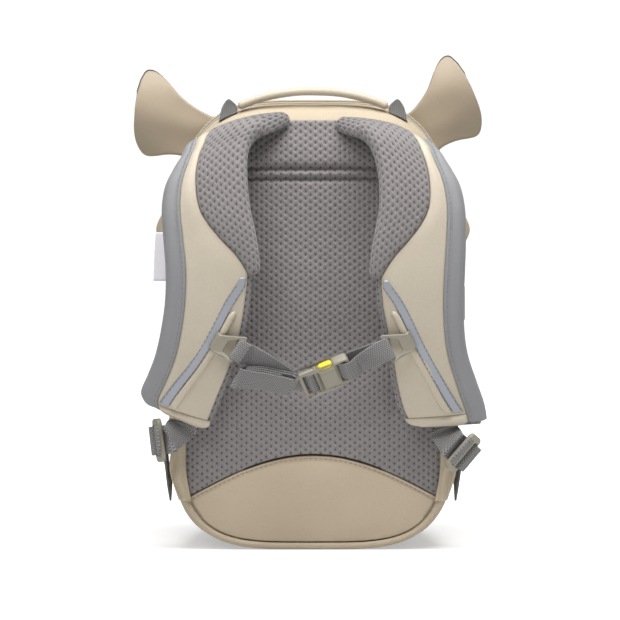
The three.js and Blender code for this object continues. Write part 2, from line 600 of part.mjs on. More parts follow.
function buildStrap(strap, name) {
  const width = (station) => strap.edge(station, "outer").distanceTo(strap.edge(station, "inner"));
  const share = (station, size) => size / width(station);

  // The padding, with a round edge on both sides.
  const sections = [];
  const padStations = STRAP_END + 5;
  for (let i = 0; i <= padStations; i += 1) {
    const station = (i / padStations) * STRAP_END;
    const ring = [];
    const places = [0, 0.06, 0.3, 0.55, 0.8, 0.94, 1];
    const thin = (across) => Math.sqrt(Math.max(1 - Math.abs(2 * across - 1) ** 10, 0.02));
    for (const across of places)
      ring.push(strap.point(station, across, (strap.pad(station) / 2) * thin(across)));
    for (const across of [...places].reverse())
      ring.push(strap.point(station, across, (-strap.pad(station) / 2) * thin(across)));
    sections.push(ring);
  }
  add(`strap_${name}_pad`, loftGeometry(sections), "mesh");

  // A flat piece sewn on the strap between two stations and two edges.
  const sewn = (piece, from, to, low, high, lift, thickness, look, rows, columns) => {
    const at = (u, v, face) => {
      const station = from + (to - from) * u;
      const across = low(station) + (high(station) - low(station)) * v;
      return strap.top(station, across, face > 0 ? lift + thickness : lift);
    };
    add(`strap_${name}_${piece}`, sheetGeometry(rows, columns, at), look);
  };
  const neckEnd = NECK_EDGE[NECK_EDGE.length - 1].station;
  const seam = 0.012;
  const innerRim = 0.05;
  sewn("neck_mesh", 0.6, neckEnd, () => 0.02, neckEdge, FACET_CLEARANCE, NECK_MESH, "mesh", 13, 4);
  sewn(
    "cover",
    3.2,
    HEM_STATION,
    (station) => Math.max(station < neckEnd ? neckEdge(station) + seam : 0, innerRim),
    (station) => bindingEdge(station) - seam,
    SEAM_GAP,
    COVER,
    "fabric",
    22,
    4,
  );
  sewn("binding", 3.2, STRAP_END - 0.25, bindingEdge, () => 0.985, SEAM_GAP, BINDING, "grey", 18, 2);
  sewn(
    "hem",
    HEM_STATION + 0.06,
    STRAP_END - 0.05,
    () => innerRim,
    (station) => bindingEdge(station) - seam,
    SEAM_GAP,
    COVER + 0.8,
    "fabric",
    3,
    6,
  );
  const stripe = (station) => share(station, REFLECTOR.width / 2);
  const onCover = SEAM_GAP + COVER + SEAM_GAP;
  sewn(
    "reflector",
    REFLECTOR_LINE[0].station,
    REFLECTOR_LINE[REFLECTOR_LINE.length - 1].station,
    (station) => Math.max(reflectorLine(station) - stripe(station), innerRim + seam),
    (station) => reflectorLine(station) + stripe(station),
    onCover,
    REFLECTOR.thickness,
    "reflector",
    12,
    1,
  );

  // The rail is a round cord in a sewn channel beside the reflector.
  const railAcross = (station) => reflectorLine(station) - share(station, RAIL.fromReflector);
  const railSections = [];
  for (let i = 0; i <= 14; i += 1) {
    const station = RAIL_START + ((RAIL_END - RAIL_START) * i) / 14;
    const here = (across, lift) => strap.top(station, across, onCover + lift);
    const ring = [];
    for (let k = 0; k < 6; k += 1) {
      const angle = (k / 6) * 2 * Math.PI;
      const aside = share(station, RAIL.radius * Math.cos(angle) * 1.25);
      ring.push(here(railAcross(station) + aside, RAIL.radius * (1 + Math.sin(angle))));
    }
    railSections.push(ring);
  }
  add(`strap_${name}_rail`, loftGeometry(railSections), "fabric");
  return railAcross;
}

// The chest strap hangs between the two clips, with the buckle right of the middle. along is a share of the
// span between the clips' bars, drop a share of it below their line.
const CHEST_RUNS = {
  buckleStart: { along: 0.494, drop: 0.215 },
  buckleEnd: { along: 0.7, drop: 0.13 },
  straight: 5,
  sewn: 6,
  seam: 5,
  lap: 0.5,
  meet: 0.2,
};

function leanedFrame(along, lean) {
  const toViewer = new THREE.Vector3(0, -1, 0);
  const across = along.clone().cross(toViewer).normalize();
  if (across.z < 0) across.negate();
  const face = toViewer.addScaledVector(along, -toViewer.dot(along)).normalize();
  const hinge = along.clone().multiplyScalar(Math.sign(along.x));
  const tilt = new THREE.Quaternion().setFromAxisAngle(hinge, lean);
  return { along, across: across.applyQuaternion(tilt), face: face.applyQuaternion(tilt) };
}

// The middle line of a web, with its directions at a length along it.
function webLine(points, leanAt) {
  const curve = new THREE.CatmullRomCurve3(points);
  const length = curve.getLength();
  const at = (l) => {
    const t = THREE.MathUtils.clamp(l / length, 0, 1);
    const along = curve.getTangentAt(t);
    const middle = curve.getPointAt(t).addScaledVector(along, l - t * length);
    return { middle, ...leanedFrame(along, leanAt(t)) };
  };
  return { at, length };
}

// Samples a path given as straight stretches and half turns in a flat plane of length and distance.
function flatPath(legs) {
  const points = [];
  for (const leg of legs) {
    if (!leg.turn) {
      points.push({ l: leg.l, d: leg.d, hung: leg.hung });
      continue;
    }
    const steps = 5;
    for (let i = 0; i <= steps; i += 1) {
      const angle = (leg.from + (leg.turn * i) / steps) * Math.PI;
      const [l, d] = [leg.l + leg.r * Math.cos(angle), leg.d + leg.r * Math.sin(angle)];
      points.push({ l, d, hung: leg.hung });
    }
  }
  return points;
}

function ribbonAlong(path, line, width, thickness, hang = () => 0) {
  const rows = path.map(({ l, d, hung }) => {
    const { middle, across, face } = line.at(l);
    if (hung) middle.addScaledVector(across, -hang(l));
    return { middle: middle.addScaledVector(face, d), across };
  });
  return ribbonThrough(rows, width, thickness);
}

// A ribbon whose faces follow its own path.
function ribbonThrough(rows, width, thickness) {
  const stations = rows.map(({ middle, across, kept }, i) => {
    const before = rows[Math.max(i - 1, 0)].middle;
    const after = rows[Math.min(i + 1, rows.length - 1)].middle;
    const ahead = after.clone().sub(before).normalize();
    const face = ahead.clone().cross(across).normalize();
    return { middle, across: kept ? across : face.clone().cross(ahead).normalize(), face };
  });
  return ribbonGeometry(stations, width, thickness);
}

function buildChestStrap(left, right, railAcross) {
  const clipBar = (strap, across) =>
    strap
      .top(SLIDER_STATION, across, SEAM_GAP * 2 + COVER + RAIL.radius)
      .add(new THREE.Vector3(-strap.side * CLIP.reach, -CLIP.forward, -CLIP.drop));
  const a = clipBar(left, railAcross.left(SLIDER_STATION));
  const b = clipBar(right, railAcross.right(SLIDER_STATION));
  const span = a.distanceTo(b);
  const at = ({ along, drop }) => a.clone().lerp(b, along).add(new THREE.Vector3(0, 0, -drop * span));
  const start = at(CHEST_RUNS.buckleStart);
  const end = at(CHEST_RUNS.buckleEnd);
  const buckleWay = end.clone().sub(start).normalize();
  const lean = THREE.MathUtils.degToRad(CHEST_WEB.lean);
  const { width, thickness } = CHEST_WEB;
  const loop = BAR_RADIUS + BAR_CLEARANCE + thickness / 2;

  // Left: sewn round the clip's bar, behind the buckle's rim and round its bar, then left in a flat roll.
  const bend = start.clone().addScaledVector(buckleWay, -2 * CHEST_RUNS.straight);
  const leftLine = webLine(
    [
      a,
      a.clone().lerp(bend, 0.5),
      bend,
      start.clone().addScaledVector(buckleWay, -CHEST_RUNS.straight),
      start,
    ],
    (t) => lean * THREE.MathUtils.smoothstep(t, 0, 0.4),
  );
  const inner = -(BUCKLE.rim / 2 + 2 * BAR_CLEARANCE + thickness / 2);
  const outer = inner - thickness - BAR_CLEARANCE;
  const leftEnd = leftLine.length;
  const rimAt = leftEnd - BUCKLE.barToRim;
  const rollEnd = rimAt - BUCKLE.rim / 2 - ROLL.clearance - ROLL.pitch;
  const layer = (n) => inner + n * ROLL.pitch;
  const leftPath = flatPath([
    { l: CHEST_RUNS.sewn - CHEST_RUNS.lap, d: loop },
    { l: 0, d: 0, r: loop, from: 0.5, turn: 1 },
    { l: CHEST_RUNS.sewn - 1, d: -loop },
    { l: CHEST_RUNS.sewn + 4, d: outer },
    { l: ROLL.near, d: outer },
    { l: ROLL.far, d: outer },
    { l: rimAt, d: outer },
    { l: leftEnd - 1.2, d: outer },
    { l: leftEnd, d: 0, r: loop, from: -0.5, turn: 0.85 },
    { l: leftEnd - 1, d: loop + 0.05 },
    { l: rimAt + BUCKLE.rim / 2 + 1.1, d: inner + 0.5 },
    { l: rimAt, d: inner - 0.2 },
    { l: rollEnd + 1.5, d: inner - 0.1 },
    { l: rollEnd, d: inner, hung: true },
    { l: ROLL.far, d: inner, hung: true },
    { l: ROLL.near, d: inner, hung: true },
    { l: ROLL.left, d: layer(1.5), r: 1.5 * ROLL.pitch, from: 1.5, turn: -1, hung: true },
    { l: ROLL.near, d: layer(3), hung: true },
    { l: ROLL.far, d: layer(3), hung: true },
    { l: rollEnd, d: layer(2), r: ROLL.pitch, from: 0.5, turn: -1, hung: true },
    { l: ROLL.far, d: layer(1), hung: true },
    { l: ROLL.near, d: layer(1), hung: true },
    { l: ROLL.left + 2, d: layer(1.5), r: 0.5 * ROLL.pitch, from: 1.5, turn: -1, hung: true },
    { l: ROLL.near, d: layer(2), hung: true },
    { l: rollEnd - ROLL.tuck, d: layer(2), hung: true },
  ]);
  // The roll is held at the buckle and hangs lower towards its free end.
  const hang = (l) => (ROLL.hang * Math.max(rollEnd - l, 0)) / (rollEnd - ROLL.left);
  add("chest_web_left", ribbonAlong(leftPath, leftLine, width, thickness, hang), "webbing");

  // Right: a short loop round the buckle's bar and the clip's bar, its ends meeting at the stitches.
  const rightLine = webLine(
    [
      end,
      end.clone().addScaledVector(buckleWay, CHEST_RUNS.straight),
      end.clone().addScaledVector(buckleWay, 2 * CHEST_RUNS.straight),
      b,
    ],
    (t) => lean * (1 - THREE.MathUtils.smoothstep(t, 0.35, 1)),
  );
  const rightEnd = rightLine.length;
  const room = BAR_RADIUS + thickness + 2 * BAR_CLEARANCE;
  const clear = BUCKLE.thickness / 2 + BAR_CLEARANCE + thickness / 2;
  const past = room + BUCKLE.rim;
  const rightPath = flatPath([
    { l: past + CHEST_RUNS.seam, d: loop + CHEST_RUNS.meet },
    { l: past + 1, d: clear },
    { l: room - 1, d: clear },
    { l: 0, d: 0, r: loop, from: 0.5, turn: 1 },
    { l: room - 1, d: -clear },
    { l: past + 1, d: -clear },
    { l: rightEnd - CHEST_RUNS.sewn, d: -loop },
    { l: rightEnd, d: 0, r: loop, from: -0.5, turn: 1 },
    { l: rightEnd - CHEST_RUNS.sewn, d: loop },
    { l: past + CHEST_RUNS.seam + CHEST_RUNS.lap, d: loop + CHEST_RUNS.meet },
  ]);
  add("chest_web_right", ribbonAlong(rightPath, rightLine, width, thickness), "webbing");

  buildClip("clip_left", left, railAcross.left, leftLine.at(0), -1);
  buildClip("clip_right", right, railAcross.right, rightLine.at(rightEnd), 1);
  buildBuckle(start, end, lean);
}

// A clip that rides on a strap's rail and holds the webbing on its bar.
function buildClip(name, strap, railAcross, bar, side) {
  const rail = (station) =>
    strap.top(station, railAcross(station), SEAM_GAP * 2 + COVER + RAIL.radius);
  const on = rail(SLIDER_STATION);
  const railWay = rail(SLIDER_STATION - 0.4).sub(rail(SLIDER_STATION + 0.4)).normalize();
  const normal = strap.normal(SLIDER_STATION, railAcross(SLIDER_STATION));
  const beside = railWay.clone().cross(normal).normalize();
  const away = bar.along.clone().multiplyScalar(side);
  const thick = away.clone().cross(bar.across);
  const barHalf = CHEST_WEB.width / 2 + CLIP.rim / 2 + BAR_CLEARANCE;
  const rod = new THREE.CylinderGeometry(BAR_RADIUS, BAR_RADIUS, 2 * barHalf, 8);
  const loopRoom = BAR_RADIUS + BAR_CLEARANCE + CHEST_WEB.thickness + BAR_CLEARANCE;

  // Two arms run from the bar's ends, past the web, to a saddle that grips the rail.
  const saddleRadius = RAIL.radius * 1.25 + 0.7;
  const link = (from, to, over) => {
    const way = to.clone().sub(from);
    const length = way.length();
    way.normalize();
    const wide = over.clone().addScaledVector(way, -over.dot(way)).normalize();
    const arm = new THREE.BoxGeometry(length + CLIP.rim * 0.8, CLIP.rim, CLIP.thickness);
    return placed(arm, from.clone().addScaledVector(way, length / 2), way, wide, way.clone().cross(wide));
  };
  const arms = [1, -1].flatMap((end) => {
    const tip = bar.middle.clone().addScaledVector(bar.across, end * barHalf);
    const knee = tip.clone().addScaledVector(away, loopRoom);
    const root = on
      .clone()
      .addScaledVector(railWay, end * (CLIP.grip / 2 - CLIP.rim / 2))
      .addScaledVector(normal, saddleRadius + 0.6);
    return [link(tip, knee, bar.across), link(knee, root, bar.across)];
  });
  const saddle = new THREE.CylinderGeometry(saddleRadius + 1.5, saddleRadius + 1.5, CLIP.grip, 10);
  const groove = new THREE.CylinderGeometry(saddleRadius, saddleRadius, CLIP.grip + 4, 10);
  const under = new THREE.BoxGeometry(30, CLIP.grip + 4, 20).translate(0, 0, -10 - RAIL.radius * 0.35);
  const cradle = placed(cut(saddle, groove, under), on, beside, railWay, beside.clone().cross(railWay));
  add(name, join(cradle, placed(rod, bar.middle, away, bar.across, thick), ...arms), "plastic");
}

function buildBuckle(start, end, lean) {
  const { along, across, face } = leanedFrame(end.clone().sub(start).normalize(), lean);
  const { height, thickness, rim, barToRim, malePart } = BUCKLE;
  const middle = start.clone().lerp(end, 0.5);
  const barAt = start.distanceTo(end) / 2;
  const inPlace = (geometry) => placed(geometry, middle, along, across, face);
  const slotHalf = CHEST_WEB.width / 2 + BAR_CLEARANCE;
  const block = (from, to, thick, radius) =>
    extruded(roundedRectangle(from, -height / 2, to, height / 2, radius), -thick / 2, thick / 2);
  const window = (from, to) => extruded(roundedRectangle(from, -slotHalf, to, slotHalf, 0.8), -20, 20, 1);
  const bar = (x) =>
    new THREE.CylinderGeometry(BAR_RADIUS, BAR_RADIUS, 2 * slotHalf + 1, 8).translate(x, 0, 0);
  const room = BAR_RADIUS + CHEST_WEB.thickness + 2 * BAR_CLEARANCE;
  const split = -barAt + malePart;
  const maleEnd = -barAt - barToRim - rim / 2;

  const ladder = cut(
    block(maleEnd, -barAt + room + 1, rim, 2),
    window(-barAt - barToRim + rim / 2, -barAt + room),
  );
  const plug = block(-barAt + room, split - SEAM_GAP / 2, thickness, 1);
  add("buckle_male", inPlace(join(ladder, plug, bar(-barAt))), "plastic");

  const seat = split + BUCKLE.seat + BUTTON.length / 2;
  const female = cut(
    block(split + SEAM_GAP / 2, barAt + room + rim, thickness, 2.5),
    window(barAt - room, barAt + room),
    new THREE.BoxGeometry(BUTTON.length + 2 * SEAM_GAP, 2 * BUTTON.sunk, BUTTON.width + 2 * SEAM_GAP).translate(
      seat,
      height / 2,
      0,
    ),
  );
  add("buckle_female", inPlace(join(female, bar(barAt))), "plastic");
  const cap = new THREE.Shape();
  cap.moveTo(-BUTTON.length / 2, -BUTTON.sunk + SEAM_GAP);
  cap.lineTo(BUTTON.length / 2, -BUTTON.sunk + SEAM_GAP);
  cap.lineTo(BUTTON.length / 2, -0.5);
  cap.quadraticCurveTo(0, BUTTON.proud * 2, -BUTTON.length / 2, -0.5);
  const button = extruded(cap, -BUTTON.width / 2, BUTTON.width / 2, 5);
  add("buckle_button", inPlace(button.translate(seat, height / 2, 0)), "button");
}

// The ladder locks. x is a share of the half width, level a share of HEIGHT, and forward the distance from the
// back plane. along is the way that the webbing takes through the lock, across the lock's own width.
const LOCKS = [
  {
    side: -1, x: 1.04, level: 0.248, forward: 21,
    alongX: -0.25, alongY: 0.95, alongZ: -0.1, acrossX: -0.1, acrossY: 0, acrossZ: 1,
  },
  {
    side: 1, x: 1.01, level: 0.221, forward: 24,
    alongX: 0.35, alongY: 0.85, alongZ: -0.35, acrossX: 0.6, acrossY: 0, acrossZ: 0.75,
  },
];

// The wing, from the panel's side edge out to its own free edge. The x columns are shares of the half width,
// the levels of HEIGHT, and forward is how far the free edge stands in front of the panel.
const WING = [
  { v: 0, seamX: 0.83, seamLevel: 0.108, edgeX: 0.91, edgeLevel: 0.112, forward: 3 },
  { v: 0.5, seamX: 0.865, seamLevel: 0.175, edgeX: 0.955, edgeLevel: 0.18, forward: 4 },
  { v: 1, seamX: 0.87, seamLevel: 0.245, edgeX: 0.95, edgeLevel: 0.235, forward: 5 },
];

// The lower web from the lock to the rear gusset's side. back is the distance behind the panel's face.
const SIDE_WEB = [
  { back: 2, level: 0.205, off: 2.2 },
  { back: 12, level: 0.16, off: 0.3 },
  { back: 20, level: 0.122, off: 0 },
];

function buildLower(strap, name) {
  const { side } = strap;
  const { width, thickness } = LOWER_WEB;
  const lock = LOCKS.find((row) => row.side === side);
  const middle = new THREE.Vector3(side * half * lock.x, backPlane - lock.forward, HEIGHT * lock.level);
  const along = new THREE.Vector3(lock.alongX, lock.alongY, lock.alongZ).normalize();
  const across = new THREE.Vector3(lock.acrossX, lock.acrossY, lock.acrossZ);
  across.addScaledVector(along, -across.dot(along)).normalize();
  const out = along.clone().cross(across);
  if (out.x * side < 0) out.negate();

  // The lock: a frame with a middle bar.
  const { height, length, rim } = LADDER_LOCK;
  const halfThick = LADDER_LOCK.thickness / 2;
  const slotLength = (length - 3 * rim) / 2;
  const slotHalf = width / 2 + BAR_CLEARANCE;
  const slot = (from) =>
    extruded(roundedRectangle(from, -slotHalf, from + slotLength, slotHalf, 0.6), -10, 10, 1);
  const frame = cut(
    extruded(roundedRectangle(-length / 2, -height / 2, length / 2, height / 2, 4), -halfThick, halfThick),
    slot(-length / 2 + rim),
    slot(length / 2 - rim - slotLength),
  );
  const third = along.clone().cross(across);
  add(`ladder_lock_${name}`, placed(frame, middle, along, across, third), "plastic");

  // A hook of webbing round a rim of the lock, from the side that faces a target to a short tail behind it.
  // way is -1 at the near rim and 1 at the far one.
  const lift = halfThick + BAR_CLEARANCE + thickness / 2;
  const inside = rim / 2 + BAR_CLEARANCE + thickness / 2;
  const hook = (way, target) => {
    const facing = target.clone().sub(middle).dot(out) < 0 ? -1 : 1;
    return [
      { a: rim / 2 + 2.5, d: lift + 1.75 },
      { a: -rim / 2, d: lift + 0.9 },
      { a: -inside, d: lift - 1.2 },
      { a: -inside, d: -lift + 1.2 },
      { a: -rim / 2, d: -lift },
      { a: rim / 2 + LOWER_WEB.tail, d: -lift },
    ].map(({ a, d }) => ({
      middle: middle
        .clone()
        .addScaledVector(along, way * (length / 2 - rim / 2 + a))
        .addScaledVector(out, facing * d),
      across,
    }));
  };

  // The upper web comes out from under the strap's end.
  const rooted = strap.point(STRAP_END, LOWER_WEB.rooted, 0);
  const strapWay = rooted.clone().sub(strap.point(STRAP_END - 0.4, LOWER_WEB.rooted, 0)).normalize();
  const strapOver = strap.edge(STRAP_END, "outer").sub(strap.edge(STRAP_END, "inner")).normalize();
  if (strapOver.dot(across) < 0) strapOver.negate();
  const stub = rooted.clone().addScaledVector(strapWay, LOWER_WEB.stub);
  const near = hook(-1, rooted);
  const turned = (k) => strapOver.clone().lerp(across, k).normalize();
  const upper = [
    { middle: rooted.clone().addScaledVector(strapWay, 0.7), across: strapOver, kept: true },
    { middle: stub, across: turned(0.15) },
    { middle: stub.clone().lerp(near[0].middle, 0.35), across: turned(0.5) },
    { middle: stub.clone().lerp(near[0].middle, 0.7), across: turned(0.9) },
    ...near,
  ];
  add(`adjuster_web_${name}`, ribbonThrough(upper, width, thickness), "webbing");

  const wing = (u, v, lifted) => {
    const read = (column) => readTable(WING, "v", v, column);
    const seamX = half * read("seamX");
    const seamZ = HEIGHT * read("seamLevel");
    const seamY = panelFront(seamX, seamZ) - 2 * SEAM_GAP - WING_THICKNESS / 2;
    const seam = new THREE.Vector3(side * seamX, seamY, seamZ);
    const edge = new THREE.Vector3(
      side * half * read("edgeX"),
      seamY - read("forward"),
      HEIGHT * read("edgeLevel"),
    );
    return seam.lerp(edge, u).addScaledVector(new THREE.Vector3(side * 0.3, 0.95, 0), lifted);
  };
  add(
    `wing_${name}`,
    sheetGeometry(3, 4, (u, v, face) => wing(u, v, (face * WING_THICKNESS) / 2)),
    "fabric",
  );

  // The lower web goes from the far rim back and down to the gusset's side, where it is sewn flat.
  const sewn = SIDE_WEB.map(({ back, level, off }) => {
    const y = backPlane + back;
    const z = HEIGHT * level;
    const reaches = [-1, 0, 1].map((k) =>
      halfWidthAt(Math.max(shareAt(y + (k * 0.8 * width) / 2), 0), z + (k * 0.6 * width) / 2),
    );
    const x = Math.max(...reaches) + 2 * SEAM_GAP + thickness / 2 + off;
    return { middle: new THREE.Vector3(side * x, y, z), across: new THREE.Vector3(0, 0.8, 0.6) };
  });
  const far = hook(1, sewn[0].middle).reverse();
  const flip = far[0].across.dot(sewn[0].across) < 0 ? -1 : 1;
  far.forEach((row) => (row.across = row.across.clone().multiplyScalar(flip)));
  const lower = [...far, ...sewn];
  add(`side_web_${name}`, ribbonThrough(lower, width, thickness), "webbing");
}

// The rolled handle stands over the gusset, and its ends go into two webbing tabs.
// Columns of a tab: up runs from the foot to the peak, and near and far are the distances of its two edges from
// the handle's end, as shares of the tab's width.
const TAB = [
  { up: 0, near: 0, far: 1 },
  { up: 0.55, near: 0.05, far: 0.85 },
  { up: 1, near: 0.3, far: 0.62 },
];

function buildHandle() {
  const y = backPlane + HANDLE.fromBack;
  const share = shareAt(y);
  const endLevel = crownAt(share, HANDLE.halfSpan) + HANDLE.radius + HANDLE.endLift;
  const topLevel = crownAt(share, 0) + HANDLE.rise;
  const points = [-1, -0.8, -0.5, -0.2, 0.2, 0.5, 0.8, 1].map(
    (t) =>
      new THREE.Vector3(
        HANDLE.halfSpan * t,
        y,
        endLevel + (topLevel - endLevel) * (1 - Math.abs(t) ** 2.2),
      ),
  );
  const round = new THREE.Shape().absarc(0, 0, HANDLE.radius, 0, 2 * Math.PI, false);
  const grip = new THREE.ExtrudeGeometry(round, {
    steps: 22,
    extrudePath: new THREE.CatmullRomCurve3(points),
    curveSegments: 4,
    bevelEnabled: false,
  });
  add("handle_grip", grip, "fabric");
  for (const side of [-1, 1]) {
    const peak = endLevel + HANDLE.radius + HANDLE_TAB.peak;
    const inner = HANDLE.halfSpan + SEAM_GAP;
    const tab = sheetGeometry(2, 2, (u, v, face) => {
      const { up, near, far } = TAB[Math.round(u * 2)];
      const x = inner + HANDLE_TAB.width * (near + (far - near) * v);
      const seatY = y + (face * HANDLE_TAB.thickness) / 2;
      const foot = crownAt(shareAt(seatY), x) + SEAM_GAP - HANDLE_TAB.sink;
      return new THREE.Vector3(side * x, seatY, foot + (peak - foot) * up);
    });
    add(side < 0 ? "handle_tab_left" : "handle_tab_right", tab, "webbing");
  }
}

// Ears, cupped fans on the front shell. turn places the root on the bag's outline, reach is in millimetres, and
// rise is the angle of the ear's axis over level.
const EARS = [
  { name: "left", side: -1, turn: 0.366, reach: 49, rise: 16 },
  { name: "right", side: 1, turn: 0.138, reach: 45, rise: 34 },
];

// The outline of an ear. along is a share of its reach, and up and down are the distances of its two edges from
// the axis, as shares of its size.
const EAR_SHAPE = [
  { along: 0, up: 0.19, down: 0.175 },
  { along: 0.3, up: 0.38, down: 0.365 },
  { along: 0.49, up: 0.51, down: 0.465 },
  { along: 0.66, up: 0.617, down: 0.5 },
  { along: 0.8, up: 0.673, down: 0.393 },
  { along: 0.9, up: 0.68, down: 0.2 },
  { along: 0.97, up: 0.63, down: -0.1 },
  { along: 1, up: 0.5, down: -0.3 },
];

function buildEar(ear) {
  const share = shareAt(zipPlane + EAR.behindZip);
  const rootAt = (v) => {
    const stepTurn = (EAR.rootHalf / HEIGHT) * (2 * v - 1) * 0.42;
    return bodyPoint(ear.turn - ear.side * stepTurn, share, EAR.sink - SEAM_GAP);
  };
  const middle = rootAt(0.5);
  const rise = THREE.MathUtils.degToRad(ear.rise);
  const axis = new THREE.Vector3(ear.side * Math.cos(rise), 0, Math.sin(rise));
  const chord = new THREE.Vector3(-ear.side * Math.sin(rise), 0, Math.cos(rise));
  const skin = (u, v, lift) => {
    const along = 1 - (1 - u) ** 1.6;
    const up = readTable(EAR_SHAPE, "along", along, "up");
    const down = readTable(EAR_SHAPE, "along", along, "down");
    const place = middle
      .clone()
      .addScaledVector(axis, ear.reach * along)
      .addScaledVector(chord, EAR.size * (up - (up + down) * v));
    place.lerp(rootAt(v), 1 - THREE.MathUtils.smoothstep(u, 0, 0.3));
    const w = (up - (up + down) * v - EAR.midway) / (EAR_SHAPE[5].up - EAR.midway);
    const cup = EAR.cup * along * (w * w - 0.35) + EAR.sweep * along;
    return place.add(new THREE.Vector3(0, cup + lift, 0));
  };
  const shell = (u, v, face) => skin(u, v, face > 0 ? -EAR_LAYERS.shell : 0);
  add(`ear_${ear.name}`, sheetGeometry(7, 6, shell), "fabric");
  // The lining starts a little way out, so that it clears the bag.
  const lining = (u, v, face) => {
    const lift = face > 0 ? EAR_LAYERS.gap + EAR_LAYERS.lining : EAR_LAYERS.gap;
    return u > 0 ? skin(u, v, lift) : skin(0, v, lift).lerp(skin(1 / 7, v, lift), 0.3);
  };
  add(`ear_${ear.name}_lining`, sheetGeometry(7, 6, lining), "lining");
}

// The side flaps stand out from the shell's sides, in front of the zip.
function buildFlap(side, name) {
  const rootY = FLAP.fromMiddle;
  const skin = (u, v, lift) => {
    const rim = 2 * v - 1;
    const z = HEIGHT * FLAP.level + (rim / 2) * FLAP.height * (1 - 0.45 * u * u) - FLAP.droop * u;
    const rootZ = HEIGHT * FLAP.level + (rim / 2) * FLAP.height;
    const wall = halfWidthAt(shareAt(rootY), rootZ) + 2 * SEAM_GAP;
    const out = FLAP.reach * Math.sin((Math.PI / 2) * u) * (1 - 0.35 * rim * rim);
    return new THREE.Vector3(side * (wall + out), rootY + FLAP.swing * u + lift, z);
  };
  const thick = (u, face) => (face * FLAP.thickness * (1 - 0.4 * u)) / -2;
  add(`side_flap_${name}`, sheetGeometry(4, 5, (u, v, face) => skin(u, v, thick(u, face))), "fabric");
}

function buildLabel() {
  const skin = (u, v, lift) => {
    const y = zipPlane + LABEL.behindZip;
    const z = HEIGHT * LABEL.level + (v - 0.5) * LABEL.height;
    const x = halfWidthAt(shareAt(y), z) + 2 * SEAM_GAP + LABEL.width * u;
    return new THREE.Vector3(-x, y + LABEL.swing * u * u + lift, z);
  };
  add(
    "side_label",
    sheetGeometry(4, 2, (u, v, face) => skin(u, v, (face * LABEL.thickness) / 2)),
    "label",
  );
}

buildShell();
buildZip();
buildBackPanel();
const leftStrap = strapOf(-1);
const rightStrap = strapOf(1);
const leftRail = buildStrap(leftStrap, "left");
const rightRail = buildStrap(rightStrap, "right");
buildChestStrap(leftStrap, rightStrap, { left: leftRail, right: rightRail });
buildLower(leftStrap, "left");
buildLower(rightStrap, "right");
buildHandle();
EARS.forEach(buildEar);
buildFlap(-1, "left");
buildFlap(1, "right");
buildLabel();

export default bag;
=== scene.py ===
"""A children's animal backpack, standing on its base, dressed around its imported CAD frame.

Sizes in the tables and helpers are millimetres, as in the CAD source, and become metres when a mesh is made.
X runs across the bag, Y from the wearer's side to the front, Z up.
"""

import math

import bmesh
import bpy
import numpy as np
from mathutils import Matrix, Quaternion, Vector


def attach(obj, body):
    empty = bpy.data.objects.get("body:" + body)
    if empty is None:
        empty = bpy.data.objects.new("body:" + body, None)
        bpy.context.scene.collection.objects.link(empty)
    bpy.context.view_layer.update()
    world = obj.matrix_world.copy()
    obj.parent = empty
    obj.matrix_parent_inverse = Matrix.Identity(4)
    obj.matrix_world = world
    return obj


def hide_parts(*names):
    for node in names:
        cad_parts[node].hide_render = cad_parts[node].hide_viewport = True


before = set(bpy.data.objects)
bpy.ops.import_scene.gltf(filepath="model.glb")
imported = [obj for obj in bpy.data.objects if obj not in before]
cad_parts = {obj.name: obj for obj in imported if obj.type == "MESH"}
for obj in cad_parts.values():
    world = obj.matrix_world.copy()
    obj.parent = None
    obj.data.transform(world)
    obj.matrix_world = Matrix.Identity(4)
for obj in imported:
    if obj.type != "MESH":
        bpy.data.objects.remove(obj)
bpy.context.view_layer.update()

MM = 0.001

# Driving sizes, as in the CAD source.
HEIGHT = 311
WIDTH = 203
DEPTH = 120
WIDEST_LEVEL = 110
SHELL_WALL = 2
SEAM_GAP = 0.3
OUTLINE_POWER = 3.95
ZIP_FROM_BACK = 25
ZIP_TAPE_WIDTH = 9
ZIP_TAPE_ROOM = 0.45
ZIP_COIL_PITCH = 1.5
ZIP_TURNS = (2 / 36, 16 / 36)
FRONT_POLE = 0.99998
SHELL_MIDDLE = (0, 10, 140)
PANEL_RIM = 3
PANEL_BULGE = 6
TOP_PAD_BULGE = 5
RIB_LEVEL = 259.5
RIB_HEIGHT = 7
RIB_GROOVE = 3.5
ARCH_END = 33
ARCH_RISE = 33
ARCH_STITCHES = 2.6
LUMBAR_DROP = 0.8
PIPING_RADIUS = 2.3
PIPING_END_TURN = 0.09
STRAP_PAD = 8
STRAP_STANDOFF = 44
PANEL_CLEARANCE = 1.3
COVER = 1.2
BINDING = 1.6
REFLECTOR_WIDTH = 7.4
REFLECTOR_THICKNESS = 0.6
RAIL_RADIUS = 1.9
RAIL_FROM_REFLECTOR = 6.2

HALF = WIDTH / 2
BACK_PLANE = -DEPTH / 2
ZIP_PLANE = BACK_PLANE + ZIP_FROM_BACK


def table(columns, *rows):
    """A table with named columns, as arrays."""
    return {name: np.array([row[k] for row in rows], float) for k, name in enumerate(columns.split())}


# The bag's sections as shares: depth of DEPTH, half of the half width, and crown and foot of the outline
# above and below the widest level.
BODY_SECTIONS = table(
    "depth half crown foot",
    (0.0, 0.905, 0.927, 0.953),
    (0.05, 0.955, 0.963, 0.992),
    (0.14, 0.985, 0.987, 1.012),
    (0.35, 1.0, 1.0, 1.016),
    (0.6, 0.99, 0.995, 1.014),
    (0.8, 0.95, 0.962, 1.006),
    (0.88, 0.915, 0.925, 0.985),
    (0.94, 0.82, 0.83, 0.9),
    (0.98, 0.6, 0.62, 0.68),
    (1.0, 0.0, 0.0, 0.0),
)

